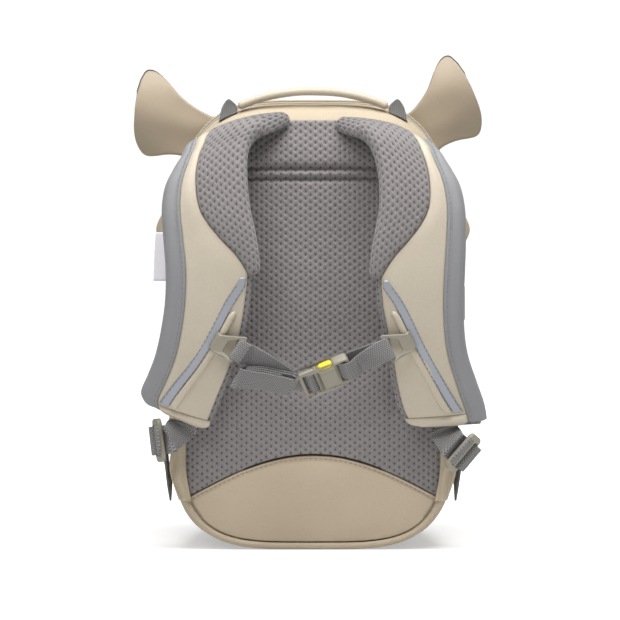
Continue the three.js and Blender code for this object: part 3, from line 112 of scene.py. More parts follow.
# Strap stations from the top seam to the free end. Edges are shares of the half width and of HEIGHT, off is a
# share of the standoff, and pad and camber are shares of the padding.
LEFT_STRAP = table(
    "station innerX innerZ outerX outerZ off pad camber",
    (0, 0.167, 0.955, 0.76, 0.882, 0, 0.4, 0.5),
    (1, 0.209, 0.948, 0.787, 0.888, 0.18, 0.75, 0.5),
    (2, 0.293, 0.936, 0.815, 0.886, 0.36, 0.95, 0.5),
    (3, 0.376, 0.924, 0.842, 0.877, 0.52, 1, 0.45),
    (4, 0.438, 0.9, 0.878, 0.856, 0.65, 1, 0.4),
    (5, 0.471, 0.872, 0.923, 0.834, 0.76, 1, 0.4),
    (6, 0.475, 0.827, 0.97, 0.802, 0.87, 1, 0.4),
    (7, 0.455, 0.764, 0.988, 0.754, 0.96, 1, 0.4),
    (8, 0.416, 0.694, 0.977, 0.694, 1, 1, 0.4),
    (9, 0.397, 0.631, 0.962, 0.626, 1, 1, 0.4),
    (10, 0.417, 0.558, 0.968, 0.558, 0.95, 1, 0.4),
    (11, 0.451, 0.495, 0.999, 0.492, 0.86, 1, 0.4),
    (12, 0.505, 0.434, 1.04, 0.437, 0.73, 1, 0.4),
    (13, 0.575, 0.375, 1.091, 0.394, 0.6, 1, 0.4),
    (14, 0.654, 0.307, 1.138, 0.355, 0.48, 1, 0.3),
    (15, 0.714, 0.269, 1.104, 0.326, 0.42, 0.7, 0.2),
)
RIGHT_STRAP = table(
    "station innerX innerZ outerX outerZ off pad camber",
    (0, 0.158, 0.945, 0.74, 0.886, 0, 0.4, 0.5),
    (1, 0.206, 0.936, 0.765, 0.892, 0.18, 0.75, 0.5),
    (2, 0.274, 0.929, 0.793, 0.883, 0.36, 0.95, 0.5),
    (3, 0.332, 0.922, 0.82, 0.873, 0.52, 1, 0.45),
    (4, 0.389, 0.903, 0.86, 0.86, 0.65, 1, 0.4),
    (5, 0.437, 0.871, 0.913, 0.836, 0.76, 1, 0.4),
    (6, 0.47, 0.822, 0.965, 0.803, 0.87, 1, 0.4),
    (7, 0.475, 0.762, 0.993, 0.754, 0.96, 1, 0.4),
    (8, 0.44, 0.691, 0.997, 0.691, 1, 1, 0.4),
    (9, 0.416, 0.622, 0.992, 0.626, 1, 1, 0.4),
    (10, 0.426, 0.558, 0.985, 0.558, 0.95, 1, 0.4),
    (11, 0.461, 0.498, 0.992, 0.492, 0.86, 1, 0.4),
    (12, 0.5, 0.434, 1.02, 0.437, 0.73, 1, 0.4),
    (13, 0.531, 0.375, 1.082, 0.378, 0.6, 1, 0.4),
    (14, 0.581, 0.314, 1.133, 0.33, 0.48, 1, 0.3),
    (15, 0.665, 0.278, 1.158, 0.285, 0.42, 0.7, 0.2),
)
STRAP_END = 15

# Lines on a strap: across runs from 0 at the inner edge to 1 at the outer edge.
NECK_EDGE = table(
    "station across",
    (0, 0.72),
    (2, 0.7),
    (4, 0.66),
    (6, 0.605),
    (7, 0.56),
    (7.5, 0.48),
    (8, 0.35),
    (8.5, 0.2),
    (9.2, 0.05),
)
BINDING_EDGE = table(
    "station across",
    (0, 0.86),
    (3, 0.84),
    (5, 0.79),
    (7, 0.8),
    (11, 0.785),
    (15, 0.79),
)
REFLECTOR_LINE = table(
    "station across",
    (9.25, 0.08),
    (10, 0.256),
    (11, 0.395),
    (12, 0.51),
    (13, 0.61),
    (14.2, 0.7),
)
NECK_END = 9.2
COVER_START = 1.2
COVER_LIFT = 0.2
RAIL_SPAN = (10.25, 14.15)
SLIDER_STATION = 11.25
HEM_STATION = 14.35


def read(rows, key, at, column):
    """Reads a table along its key column, with a smooth cubic between the rows."""
    keys, values = rows[key], rows[column]
    before = np.maximum(np.arange(len(keys)) - 1, 0)
    after = np.minimum(np.arange(len(keys)) + 1, len(keys) - 1)
    slope = (values[after] - values[before]) / (keys[after] - keys[before])
    at = np.asarray(at, float)
    i = np.clip(np.searchsorted(keys, at, side="left") - 1, 0, len(keys) - 2)
    span = keys[i + 1] - keys[i]
    t = np.clip((at - keys[i]) / span, 0, 1)
    t2, t3 = t * t, t * t * t
    return (
        (2 * t3 - 3 * t2 + 1) * values[i]
        + (t3 - 2 * t2 + t) * span * slope[i]
        + (3 * t2 - 2 * t3) * values[i + 1]
        + (t3 - t2) * span * slope[i + 1]
    )


def vector(*parts):
    """Stacks coordinates of any broadcastable shapes into points."""
    return np.stack(np.broadcast_arrays(*parts), -1).astype(float)


def lengths(path):
    """The length along a path at each of its points."""
    return np.concatenate([[0], np.cumsum(np.linalg.norm(np.diff(path, axis=0), axis=1))])


def unit(v):
    return v / np.maximum(np.linalg.norm(v, axis=-1, keepdims=True), 1e-12)


def mix(a, b, t):
    return a + (b - a) * t


def smoothstep(low, high, x):
    t = np.clip((x - low) / (high - low), 0, 1)
    return t * t * (3 - 2 * t)


def bump_at(x, centre, width):
    return np.exp(-(((x - centre) / width) ** 2))


def ripple(u, v, length, seed):
    """Soft unevenness between about -1 and 1 over coordinates in millimetres."""
    rng = np.random.default_rng(seed)
    total = 0
    for _ in range(6):
        angle = rng.uniform(0, 2 * math.pi)
        k = 2 * math.pi / (length * rng.uniform(0.7, 1.5))
        total = total + np.sin(k * (u * math.cos(angle) + v * math.sin(angle)) + rng.uniform(0, 6.28))
    return total / 3.5


def grid(rows, columns):
    """u down the rows and v across the columns, each from 0 to 1."""
    return np.meshgrid(np.linspace(0, 1, rows), np.linspace(0, 1, columns), indexing="ij")


# Mesh making. Points are in millimetres.


def quads_of(ids):
    return np.stack([ids[:-1, :-1], ids[:-1, 1:], ids[1:, 1:], ids[1:, :-1]], -1).reshape(-1, 4)


def volume_of(points, faces):
    total = 0.0
    for size in {len(face) for face in faces}:
        corners = points[np.array([face for face in faces if len(face) == size])]
        for j in range(1, size - 1):
            total += np.sum(corners[:, 0] * np.cross(corners[:, j], corners[:, j + 1]))
    return total


def as_lists(faces):
    return faces.tolist() if isinstance(faces, np.ndarray) else [[int(i) for i in face] for face in faces]


def make(name, points, faces, uv_faces=None, uvs=None):
    """A smooth mesh object of quads and fans, facing out."""
    points = np.asarray(points, float)
    faces = as_lists(faces)
    uv_faces = None if uv_faces is None else as_lists(uv_faces)
    if volume_of(points, faces) < 0:
        faces = [face[::-1] for face in faces]
        if uv_faces is not None:
            uv_faces = [face[::-1] for face in uv_faces]
    mesh = bpy.data.meshes.new(name)
    mesh.from_pydata((points * MM).tolist(), [], faces)
    if uv_faces is not None:
        layer = mesh.uv_layers.new(name="mm")
        flat = np.asarray(uvs, float)[np.concatenate([np.array(face) for face in uv_faces])]
        layer.data.foreach_set("uv", flat.astype(np.float32).ravel())
    mesh.polygons.foreach_set("use_smooth", [True] * len(mesh.polygons))
    mesh.update()
    obj = bpy.data.objects.new(name, mesh)
    bpy.context.scene.collection.objects.link(obj)
    return obj


def sheet(name, front, back, uv, ring=False):
    """A closed sheet between two grids of points. In a ring, uv has one more column than the points."""
    rows, wide = front.shape[:2]
    count = rows * wide
    ids = np.arange(count).reshape(rows, wide)
    if ring:
        ids = np.hstack([ids, ids[:, :1]])
    uv_ids = np.arange(ids.size).reshape(ids.shape)

    def closed(k, step):
        def strip(a):
            return np.stack([a[:-1], a[:-1] + step, a[1:] + step, a[1:]], -1)

        parts = [quads_of(k), quads_of(k)[:, ::-1] + step, strip(k[0]), strip(k[-1][::-1])]
        if not ring:
            parts += [strip(k[:, 0][::-1]), strip(k[:, -1])]
        return np.concatenate(parts)

    faces = closed(ids, count)
    uv_faces = closed(uv_ids, 0)
    points = np.concatenate([front.reshape(-1, 3), back.reshape(-1, 3)])
    return make(name, points, faces, uv_faces, uv.reshape(-1, 2))


def loft(name, rings, along=None):
    """A closed form through rings of equal counts, with a fan over each end. UVs are around and along."""
    rings = np.asarray(rings, float)
    rows, wide = rings.shape[:2]
    ids = np.arange(rows * wide).reshape(rows, wide)
    ids = np.hstack([ids, ids[:, :1]])
    uv_ids = np.arange(ids.size).reshape(ids.shape)
    closed = np.concatenate([rings, rings[:, :1]], 1)
    around = np.concatenate(
        [np.zeros((rows, 1)), np.cumsum(np.linalg.norm(np.diff(closed, axis=1), axis=2), 1)], 1
    )
    around = around * (around[:, -1].max() / np.maximum(around[:, -1:], 1e-9))
    if along is None:
        along = lengths(rings.mean(1))
    uv = vector(around, np.asarray(along)[:, None])
    points = np.concatenate([rings.reshape(-1, 3), [rings[0].mean(0), rings[-1].mean(0)]])
    first, last = rows * wide, rows * wide + 1
    faces = [*quads_of(ids)]
    uv_faces = [*quads_of(uv_ids)]
    for j in range(wide):
        k = (j + 1) % wide
        faces += [(first, ids[0, k], ids[0, j]), (last, ids[-1, j], ids[-1, k])]
        uv_faces += [(uv_ids[0, j],) * 3, (uv_ids[-1, j],) * 3]
    return make(name, points, faces, uv_faces, uv.reshape(-1, 2))


def frames_along(path):
    """Tangents and two steady side directions along a path."""
    tangent = unit(np.gradient(path, axis=0))
    side = unit(np.cross(tangent[0], [0.3, 1.0, 0.2]))
    sides = []
    for t in tangent:
        side = unit(side - t * np.dot(side, t))
        sides.append(side)
    sides = np.array(sides)
    return tangent, sides, np.cross(tangent, sides)


def tube(name, path, radius, sides=16, squash=1.0, round_ends=True):
    """A round cord or roll along a path, its ends rounded."""
    path = np.asarray(path, float)
    radius = np.broadcast_to(np.asarray(radius, float), (len(path),)).copy()
    length = lengths(path)
    if round_ends:
        reach = np.minimum(length, length[-1] - length)
        radius = radius * np.sqrt(np.clip(1 - (1 - np.clip(reach / radius.max(), 0, 1)) ** 2, 0.02, 1))
    _, side, over = frames_along(path)
    angle = np.linspace(0, 2 * math.pi, sides, endpoint=False)
    rings = (
        path[:, None]
        + side[:, None] * (radius[:, None] * np.cos(angle))[..., None]
        + over[:, None] * (radius[:, None] * squash * np.sin(angle))[..., None]
    )
    return loft(name, rings)


def curve_through(points, step):
    """A smooth path through points, sampled about every step."""
    points = np.asarray(points, float)
    chord = np.linalg.norm(np.diff(points, axis=0), axis=1) ** 0.5
    knots = np.concatenate([[0], np.cumsum(chord)])
    columns = {f"c{k}": points[:, k] for k in range(points.shape[1])}
    rows = {"t": knots, **columns}
    fine = np.linspace(0, knots[-1], max(int(np.sum(chord**2) / step) * 4, 8))
    dense = np.stack([read(rows, "t", fine, f"c{k}") for k in range(points.shape[1])], -1)
    return even(dense, step)


def even(path, step):
    """The same path, sampled evenly."""
    length = lengths(path)
    count = max(int(round(length[-1] / step)) + 1, 3)
    at = np.linspace(0, length[-1], count)
    return np.stack([np.interp(at, length, path[:, k]) for k in range(path.shape[1])], -1)


def ribbon(name, middle, across, width, thickness, edge=0.25):
    """Webbing through middles, with slightly thinner selvedges. UVs are across from the middle, and along."""
    ahead = unit(np.gradient(middle, axis=0))
    face = unit(np.cross(ahead, across))
    across = unit(np.cross(face, ahead))
    w, t = width / 2, thickness / 2
    half = np.array([
        (-w, -t * edge), (-w + 0.25, -t * 0.8), (-w + 0.8, -t), (-w * 0.5, -t), (0, -t),
        (w * 0.5, -t), (w - 0.8, -t), (w - 0.25, -t * 0.8), (w, -t * edge),
    ])  # fmt: skip
    a, b = np.concatenate([half, -half]).T
    rings = middle[:, None] + across[:, None] * a[:, None] + face[:, None] * b[:, None]
    length = lengths(middle)
    obj = loft(name, rings, along=length)
    set_uv(obj, a, length)
    return obj


def set_uv(obj, a, length):
    """Writes UVs of a ribbon from the place across it and the length along it."""
    uv = np.concatenate(
        [vector(a[None, :], length[:, None]).reshape(-1, 2), [[0, length[0]], [0, length[-1]]]]
    )
    mesh = obj.data
    loops = np.empty(len(mesh.loops), int)
    mesh.loops.foreach_get("vertex_index", loops)
    mesh.uv_layers["mm"].data.foreach_set("uv", uv[loops].astype(np.float32).ravel())


def rim_round(u_mm, v_mm, u_size, v_size, radius):
    """The share of the full thickness near the rim of a piece, so that its edge is round."""
    reach = np.minimum(np.minimum(u_mm, u_size - u_mm), np.minimum(v_mm, v_size - v_mm))
    return np.sqrt(np.clip(1 - (1 - np.clip(reach / radius, 0, 1)) ** 2, 0.03, 1))


def stitches(name, path, normal, material, slot, length=2.5, gap=1.0, radius=0.3):
    """A row of thread stitches along a path that lies on a surface."""
    path = np.asarray(path, float)
    normal = np.broadcast_to(np.asarray(normal, float), path.shape)
    run = lengths(path)
    count = max(int(run[-1] / (length + gap)), 1)
    starts = (np.arange(count) + 0.5) * run[-1] / count - length / 2
    profile_t = np.array([0.0, 0.18, 0.5, 0.82, 1.0])
    profile_r = np.array([0.25, 0.85, 1.0, 0.85, 0.25])
    sides = 6
    angle = np.linspace(0, 2 * math.pi, sides, endpoint=False)
    points, faces = [], []
    for start in starts:
        at = start + profile_t * length
        place = np.stack([np.interp(at, run, path[:, k]) for k in range(3)], -1)
        lift = np.stack([np.interp(at, run, normal[:, k]) for k in range(3)], -1)
        ahead = unit(place[-1] - place[0])
        up = unit(lift - ahead * (lift @ ahead)[:, None])
        side = np.cross(ahead, up)
        centre = place + up * (radius * 0.35 - 0.35 * radius * (2 * profile_t - 1)[:, None] ** 4)
        ring = (
            centre[:, None]
            + side[:, None] * (radius * profile_r[:, None] * np.cos(angle))[..., None]
            + up[:, None] * (radius * 0.8 * profile_r[:, None] * np.sin(angle))[..., None]
        )
        base = len(points)
        points.extend(ring.reshape(-1, 3))
        ids = np.arange(base, base + ring.shape[0] * sides).reshape(-1, sides)
        ids = np.hstack([ids, ids[:, :1]])
        faces.extend(quads_of(ids))
        faces.append(ids[0, :-1][::-1])
        faces.append(ids[-1, :-1])
    obj = make(name, points, faces)
    return dress(obj, material, slot)


def dress(obj, material, slot, *nodes, padded=None):
    """Gives a finished piece its material and its body, and hides the CAD nodes that it stands for. The slot
    is not used.
    """
    obj.data.materials.clear()
    obj.data.materials.append(material)
    if nodes:
        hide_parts(*nodes)
    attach(obj, "root")
    return obj


# Materials.


class Nodes:
    """A short way to write a node tree."""

    def __init__(self, name, roughness, colour=(0.5, 0.5, 0.5), **sockets):
        self.material = bpy.data.materials.new(name)
        self.material.use_nodes = True
        self.tree = self.material.node_tree
        self.shader = self.tree.nodes["Principled BSDF"]
        self.shader.inputs["Roughness"].default_value = roughness
        self.shader.inputs["Base Color"].default_value = (*colour, 1)
        for socket, value in sockets.items():
            self.shader.inputs[socket.replace("_", " ")].default_value = value
        self.uv = self.add("ShaderNodeUVMap", uv_map="mm").outputs["UV"]
        split = self.add("ShaderNodeSeparateXYZ")
        self.link(self.uv, split.inputs[0])
        self.u, self.v = split.outputs["X"], split.outputs["Y"]

    def add(self, kind, **settings):
        node = self.tree.nodes.new(kind)
        for key, value in settings.items():
            setattr(node, key, value)
        return node

    def link(self, source, target):
        if isinstance(source, (int, float)):
            target.default_value = source
        elif isinstance(source, tuple):
            target.default_value = (*source, 1)
        else:
            self.tree.links.new(source, target)

    def math(self, operation, *values):
        node = self.add("ShaderNodeMath", operation=operation)
        for value, socket in zip(values, node.inputs):
            self.link(value, socket)
        return node.outputs[0]

    def smooth(self, value, low, high, out_low=0.0, out_high=1.0):
        node = self.add("ShaderNodeMapRange", interpolation_type="SMOOTHSTEP")
        for socket, item in zip(node.inputs, (value, low, high, out_low, out_high)):
            self.link(item, socket)
        return node.outputs[0]

    def object_place(self):
        return self.add("ShaderNodeTexCoord").outputs["Object"]

    def noise(self, scale, detail=3.0, rough=0.5, place=None, stretch=None):
        node = self.add("ShaderNodeTexNoise")
        place = self.object_place() if place is None else place
        if stretch is not None:
            mapping = self.add("ShaderNodeMapping")
            mapping.inputs["Scale"].default_value = stretch
            self.link(place, mapping.inputs["Vector"])
            place = mapping.outputs[0]
        self.link(place, node.inputs["Vector"])
        node.inputs["Scale"].default_value = scale
        node.inputs["Detail"].default_value = detail
        node.inputs["Roughness"].default_value = rough
        return node.outputs["Fac"]

    def blend(self, factor, a, b):
        node = self.add("ShaderNodeMix", data_type="RGBA")
        self.link(factor, node.inputs["Factor"])
        self.link(a, node.inputs[6])
        self.link(b, node.inputs[7])
        return node.outputs[2]

    def colour(self, value):
        self.link(value, self.shader.inputs["Base Color"])

    def rough(self, value):
        self.link(value, self.shader.inputs["Roughness"])

    def bump(self, *layers):
        """Each layer is a height and its depth in millimetres."""
        normal = None
        for height, depth in layers:
            node = self.add("ShaderNodeBump")
            node.inputs["Distance"].default_value = depth * MM
            node.inputs["Strength"].default_value = 1.0
            self.link(height, node.inputs["Height"])
            if normal is not None:
                self.tree.links.new(normal, node.inputs["Normal"])
            normal = node.outputs[0]
        self.tree.links.new(normal, self.shader.inputs["Normal"])


def cell(n, coordinate, pitch, shift=0.0):
    """The distance in millimetres from the middle of the cell that a coordinate lies in."""
    scaled = n.math("ADD", n.math("DIVIDE", coordinate, pitch), shift)
    return n.math("MULTIPLY", n.math("SUBTRACT", n.math("FRACT", scaled), 0.5), pitch)


def every_second(n, pitch):
    """A shift of half a cell in every second column."""
    column = n.math("FLOOR", n.math("DIVIDE", n.u, pitch))
    return n.math("MULTIPLY", n.math("MODULO", n.math("ABSOLUTE", column), 2.0), 0.5)


def hypotenuse(n, dx, dy):
    return n.math("SQRT", n.math("ADD", n.math("MULTIPLY", dx, dx), n.math("MULTIPLY", dy, dy)))


def plain_weave(n, pitch):
    """Over and under threads, between 0 and 1."""
    across = n.math("SINE", n.math("MULTIPLY", n.u, 2 * math.pi / pitch))
    along = n.math("SINE", n.math("MULTIPLY", n.v, 2 * math.pi / pitch))
    return n.math("MULTIPLY_ADD", n.math("MULTIPLY", across, along), 0.5, 0.5)


def cloth_material(name, light, dark, weave=0.55, roughness=0.6, relief=0.04, sheen=0.3, gloss=0.45):
    n = Nodes(name, roughness, light, Sheen_Weight=sheen, Sheen_Roughness=0.35, Specular_IOR_Level=gloss)
    patches = n.noise(14, 4, 0.55)
    grain = n.noise(900, 2, 0.6)
    threads = plain_weave(n, weave)
    shade = n.math("ADD", n.math("MULTIPLY", patches, 0.6), n.math("MULTIPLY", grain, 0.4))
    base = n.blend(n.smooth(shade, 0.35, 0.65), dark, light)
    n.colour(n.blend(n.math("MULTIPLY", n.math("SUBTRACT", 1.0, threads), 0.2), base, dark))
    n.rough(n.smooth(grain, 0.2, 0.8, roughness - 0.06, roughness + 0.06))
    n.bump((patches, 0.35), (grain, 0.03), (threads, relief))
    return n.material


def mesh_material():
    """Spacer mesh: a knit with staggered dimpled holes, with painted shade in each hole and round it."""
    column_pitch, row_pitch = 3.4, 4.8
    light, dark = (0.282, 0.263, 0.259), (0.235, 0.218, 0.214)
    dimple_shade, thread, hole_shade = (0.118, 0.104, 0.1), (0.39, 0.37, 0.366), (0.055, 0.047, 0.045)
    n = Nodes("air_mesh", 0.9, light, Sheen_Weight=0.35, Sheen_Roughness=0.4, Specular_IOR_Level=0.25)
    dx = cell(n, n.u, column_pitch)
    dy = n.math("MULTIPLY", cell(n, n.v, row_pitch, every_second(n, column_pitch)), 0.82)
    reach = hypotenuse(n, dx, dy)
    hole = n.smooth(reach, 0.8, 0.4)
    dimple = n.smooth(reach, 0.3, 1.9)
    knit = plain_weave(n, 0.62)
    patches = n.noise(16, 3, 0.5)
    tone = n.blend(patches, dark, light)
    # Painted shade darkens each dimple towards its hole.
    tone = n.blend(n.math("MULTIPLY", n.math("SUBTRACT", 1.0, dimple), 0.22), tone, dimple_shade)
    tone = n.blend(n.math("MULTIPLY", knit, 0.18), tone, thread)
    # Painted shade makes each hole dark.
    n.colour(n.blend(n.math("MULTIPLY", hole, 0.8), tone, hole_shade))
    n.bump((dimple, 0.75), (knit, 0.12))
    return n.material


def webbing_material(name, light, dark):
    """Woven tape: ribs across, offset from column to column."""
    n = Nodes(name, 0.75, light, Sheen_Weight=0.2, Sheen_Roughness=0.5, Specular_IOR_Level=0.3)
    column_pitch, rib_pitch = 1.25, 1.5
    dx = n.math("ABSOLUTE", cell(n, n.u, column_pitch))
    dy = n.math("ABSOLUTE", cell(n, n.v, rib_pitch, every_second(n, column_pitch)))
    thread = n.math("MULTIPLY", n.smooth(dx, 0.62, 0.2), n.smooth(dy, 0.75, 0.2))
    fibre = n.noise(1.0, 2, 0.6, n.uv, (9.0, 2.0, 1.0))
    tone = n.blend(thread, dark, light)
    n.colour(n.blend(n.math("MULTIPLY", fibre, 0.25), tone, dark))
    n.bump((thread, 0.28), (fibre, 0.05))
    return n.material


def binding_material():
    """Grosgrain: fine ribs straight across the band."""
    light, dark = (0.285, 0.288, 0.295), (0.2, 0.2, 0.205)
    rib_pitch = 0.8
    n = Nodes("grey_binding", 0.5, light, Sheen_Weight=0.3, Sheen_Roughness=0.4, Specular_IOR_Level=0.35)
    rib = n.math("MULTIPLY_ADD", n.math("SINE", n.math("MULTIPLY", n.v, 2 * math.pi / rib_pitch)), 0.5, 0.5)
    patches = n.noise(20, 3, 0.5)
    tone = n.blend(n.math("MULTIPLY", patches, 0.6), light, (0.25, 0.25, 0.26))
    n.colour(n.blend(n.math("MULTIPLY", rib, 0.3), tone, dark))
    n.bump((patches, 0.3), (rib, 0.07))
    return n.material


def plastic_material(name, colour, roughness):
    n = Nodes(name, roughness, colour, Specular_IOR_Level=0.5)
    fine = n.noise(1500, 2, 0.5)
    wear = n.noise(60, 4, 0.6)
    lighter = tuple(min(c * 1.12, 1) for c in colour)
    n.colour(n.blend(wear, colour, lighter))
    n.rough(n.smooth(wear, 0.3, 0.7, roughness - 0.05, roughness + 0.07))
    n.bump((fine, 0.02))
    return n.material


def reflector_material():
    n = Nodes("reflector", 0.32, (0.36, 0.38, 0.42), Metallic=0.35, Specular_IOR_Level=0.5)
    bead_pitch = 0.9
    bead = hypotenuse(n, cell(n, n.u, bead_pitch), cell(n, n.v, bead_pitch))
    dome = n.smooth(bead, 0.45, 0.1)
    patches = n.noise(40, 3, 0.5)
    tone = n.blend(dome, (0.33, 0.35, 0.39), (0.42, 0.44, 0.48))
    n.colour(n.blend(n.math("MULTIPLY", patches, 0.4), tone, (0.3, 0.31, 0.34)))
    n.bump((dome, 0.04))
    return n.material


bag_cloth = cloth_material("bag_cloth", (0.53, 0.445, 0.325), (0.46, 0.38, 0.27))
strap_cloth = cloth_material("strap_cloth", (0.58, 0.515, 0.415), (0.52, 0.455, 0.355), 0.45, 0.52, 0.025)
smooth_panel = cloth_material("smooth_panel", (0.55, 0.457, 0.337), (0.49, 0.4, 0.291), 0.45, 0.55, 0.025)
# The ears are the bag's cloth, painted darker with the shade that the ears stand in.
shaded_ear_cloth = cloth_material("shaded_ear_cloth", (0.38, 0.31, 0.225), (0.34, 0.275, 0.195), 0.45, 0.55, 0.02)
ear_lining = cloth_material("ear_lining", (0.06, 0.06, 0.062), (0.04, 0.04, 0.042), 0.5, 0.85, 0.05, 0.3)
label_cloth = cloth_material("label", (0.78, 0.77, 0.82), (0.72, 0.71, 0.76), 0.4, 0.8, 0.04, 0.2)
zip_cloth = cloth_material("zip", (0.42, 0.36, 0.27), (0.36, 0.3, 0.22), 0.8, 0.8, 0.08, 0.2)
air_mesh = mesh_material()
grey_binding = binding_material()
webbing = webbing_material("webbing", (0.36, 0.352, 0.348), (0.13, 0.127, 0.125))
reflector = reflector_material()
clip_plastic = plastic_material("clip_plastic", (0.285, 0.262, 0.205), 0.42)
button_plastic = plastic_material("button_plastic", (0.78, 0.66, 0.03), 0.35)
beige_thread = plastic_material("beige_thread", (0.47, 0.4, 0.29), 0.8)
panel_thread = plastic_material("panel_thread", (0.3, 0.24, 0.16), 0.8)
grey_thread = plastic_material("grey_thread", (0.2, 0.2, 0.2), 0.8)


# The bag's body.


def squared_norm(a, b):
    """The distance from the middle of the outline, as a share of its reach that way."""
    return (np.abs(a) ** OUTLINE_POWER + np.abs(b) ** OUTLINE_POWER) ** (1 / OUTLINE_POWER)


def squared_rest(a):
    """How far the outline still reaches the other way at a share of its reach."""
    return (1 - a**OUTLINE_POWER) ** (1 / OUTLINE_POWER)


def outline(turn, half_width, crown, foot):
    angle = 2 * math.pi * turn
    c, s = np.cos(angle), np.sin(angle)
    norm = squared_norm(c, s)
    return half_width * c / norm, WIDEST_LEVEL + np.where(s > 0, crown, foot) * s / norm


def body_sizes(share, inset=0.0):
    def size(column, full):
        return np.maximum(read(BODY_SECTIONS, "depth", share, column) * full - inset, 0)

    return size("half", HALF), size("crown", HEIGHT - WIDEST_LEVEL), size("foot", WIDEST_LEVEL)


def body_point(turn, share, inset=0.0):
    x, z = outline(turn, *body_sizes(share, inset))
    y = BACK_PLANE + share * (DEPTH - np.maximum(inset, 0))
    return vector(x, y, np.maximum(z, np.maximum(inset, 0)))


def share_at(y):
    return (y - BACK_PLANE) / DEPTH


def half_width_at(share, z):
    half, crown, foot = body_sizes(share)
    up = np.minimum(np.abs(z - WIDEST_LEVEL) / np.where(z > WIDEST_LEVEL, crown, foot), 1)
    return half * squared_rest(up)


def crown_at(share, x):
    half, crown, _ = body_sizes(share)
    across = np.minimum(np.abs(x) / half, 1)
    return WIDEST_LEVEL + crown * squared_rest(across)


def even_turns(count):
    """Turns of the outline at even steps of its length, with the matching lengths."""
    fine = np.linspace(0, 1, 4000)
    x, z = outline(fine, HALF, HEIGHT - WIDEST_LEVEL, WIDEST_LEVEL)
    run = np.concatenate([[0], np.cumsum(np.hypot(np.diff(x), np.diff(z)))])
    at = np.linspace(0, run[-1], count + 1)
    return np.interp(at, run, fine), at


def build_shell():
    turns, run = even_turns(300)

    def zip_opening(turn):
        inside = (turn >= ZIP_TURNS[0]) & (turn <= ZIP_TURNS[1])
        return ZIP_TAPE_WIDTH / 2 * inside + SEAM_GAP / 2

    def dented(point, inset):
        """Soft unevenness of the cloth, none on the flat foot or at the seams."""
        x, y, z = point[..., 0], point[..., 1], point[..., 2]
        share = share_at(y)
        amount = smoothstep(0.0, 0.15, share) * smoothstep(0.0, 12.0, z) * smoothstep(-0.02, 0.1, share)
        near_zip = 1 - 0.8 * bump_at(y, ZIP_PLANE, 9)
        push = (0.9 * ripple(y * 1.2, z, 70, 3) + 0.35 * ripple(x + y, z, 26, 5)) * amount * near_zip
        out = unit(point - np.array(SHELL_MIDDLE))
        return point + out * (push - 0.9)[..., None] * (1 if inset == 0 else 0.9)

    def part(name, shares_at, nodes):
        shares = shares_at(turns[:-1])
        outer = body_point(turns[None, :-1], shares)
        inner = body_point(turns[None, :-1], shares, SHELL_WALL)
        seam = 0.5 * bump_at(shares * DEPTH, 0.9 * DEPTH, 1.1)
        outer = dented(outer, 0)
        heart = vector(0 * shares, outer[..., 1], 0 * shares + 130)
        outer = outer + unit(heart - outer) * seam[..., None]
        inner = dented(inner, SHELL_WALL)
        depth = np.cumsum(np.linalg.norm(np.diff(outer, axis=0, prepend=outer[:1]), axis=2), 0).mean(1)
        obj = sheet(name, outer, inner, vector(run[None, :], depth[:, None]), ring=True)
        return dress(obj, bag_cloth, "bag_cloth", *nodes)

    def rear(turn):
        u = np.linspace(0, 1, 16)[:, None]
        return u * share_at(ZIP_PLANE - zip_opening(turn))[None, :]

    def front(turn):
        start = share_at(ZIP_PLANE + zip_opening(turn))[None, :]
        u = np.linspace(0, 1, 70)[:, None]
        spread = 1 - (1 - u) ** 1.5
        return start + (FRONT_POLE - start) * spread

    part("rear_gusset_cloth", rear, ["rear_gusset"])
    part("front_shell_cloth", front, ["front_shell"])


# A tooth of the coil: its way across the tape, and its height above it.
ZIP_TOOTH = ((-2.1, 0.0), (-1.7, 0.75), (1.2, 0.85), (1.5, 0.1))


def build_zip():
    low, high = ZIP_TURNS
    turns, run = even_turns(1200)
    keep = (turns >= low) & (turns <= high)
    turns, run = turns[keep], run[keep]
    half_tape = ZIP_TAPE_WIDTH / 2 - ZIP_TAPE_ROOM
    v = np.linspace(-1, 1, 15)
    y = ZIP_PLANE + v * half_tape
    lift = -0.35 + 0.25 * bump_at(np.abs(v), 0.62, 0.25) + 0.3 * bump_at(v, 0, 0.35)
    front = body_point(turns[:, None], share_at(y)[None, :], -lift[None, :])
    front[..., 1] = y
    back = body_point(turns[:, None], share_at(y)[None, :], SHELL_WALL - 0.2)
    back[..., 1] = y
    uv = vector(run[:, None], (v * half_tape)[None, :])
    dress(sheet("zip_tape_cloth", front, back, uv), zip_cloth, "zip", "zip_tape")

    # The coil: short bars across the middle, in turns from the left and the right.
    teeth = np.arange(run[0] + 2, run[-1] - 2, ZIP_COIL_PITCH)
    turn = np.interp(teeth, run, turns)
    points, faces = [], []
    seat = body_point(turn, share_at(ZIP_PLANE), -0.3)
    out = unit(body_point(turn, share_at(ZIP_PLANE), -3) - seat)
    ahead = unit(np.gradient(seat, axis=0))
    side = np.array([0.0, 1.0, 0.0])
    tooth_width, tooth_depth = 0.95, 0.45
    for k, place in enumerate(seat):
        way = 1 if k % 2 else -1
        for aside, height in ZIP_TOOTH:
            for half in (-tooth_width / 2, tooth_width / 2):
                foot = place + side * aside * way + ahead[k] * half
                points.append(foot + out[k] * height)
                points.append(foot + out[k] * (height - tooth_depth))
        base = len(points) - 4 * len(ZIP_TOOTH)
        for j in range(len(ZIP_TOOTH) - 1):
            a, b = base + 4 * j, base + 4 * j + 4
            faces += [
                (a, a + 2, b + 2, b),
                (a + 1, b + 1, b + 3, a + 3),
                (a, b, b + 1, a + 1),
                (a + 2, a + 3, b + 3, b + 2),
            ]
        last = len(points) - 4
        faces += [(base, base + 1, base + 3, base + 2), (last, last + 2, last + 3, last + 1)]
    dress(make("zip_coil", points, faces), beige_thread, "zip")


# The back panel.


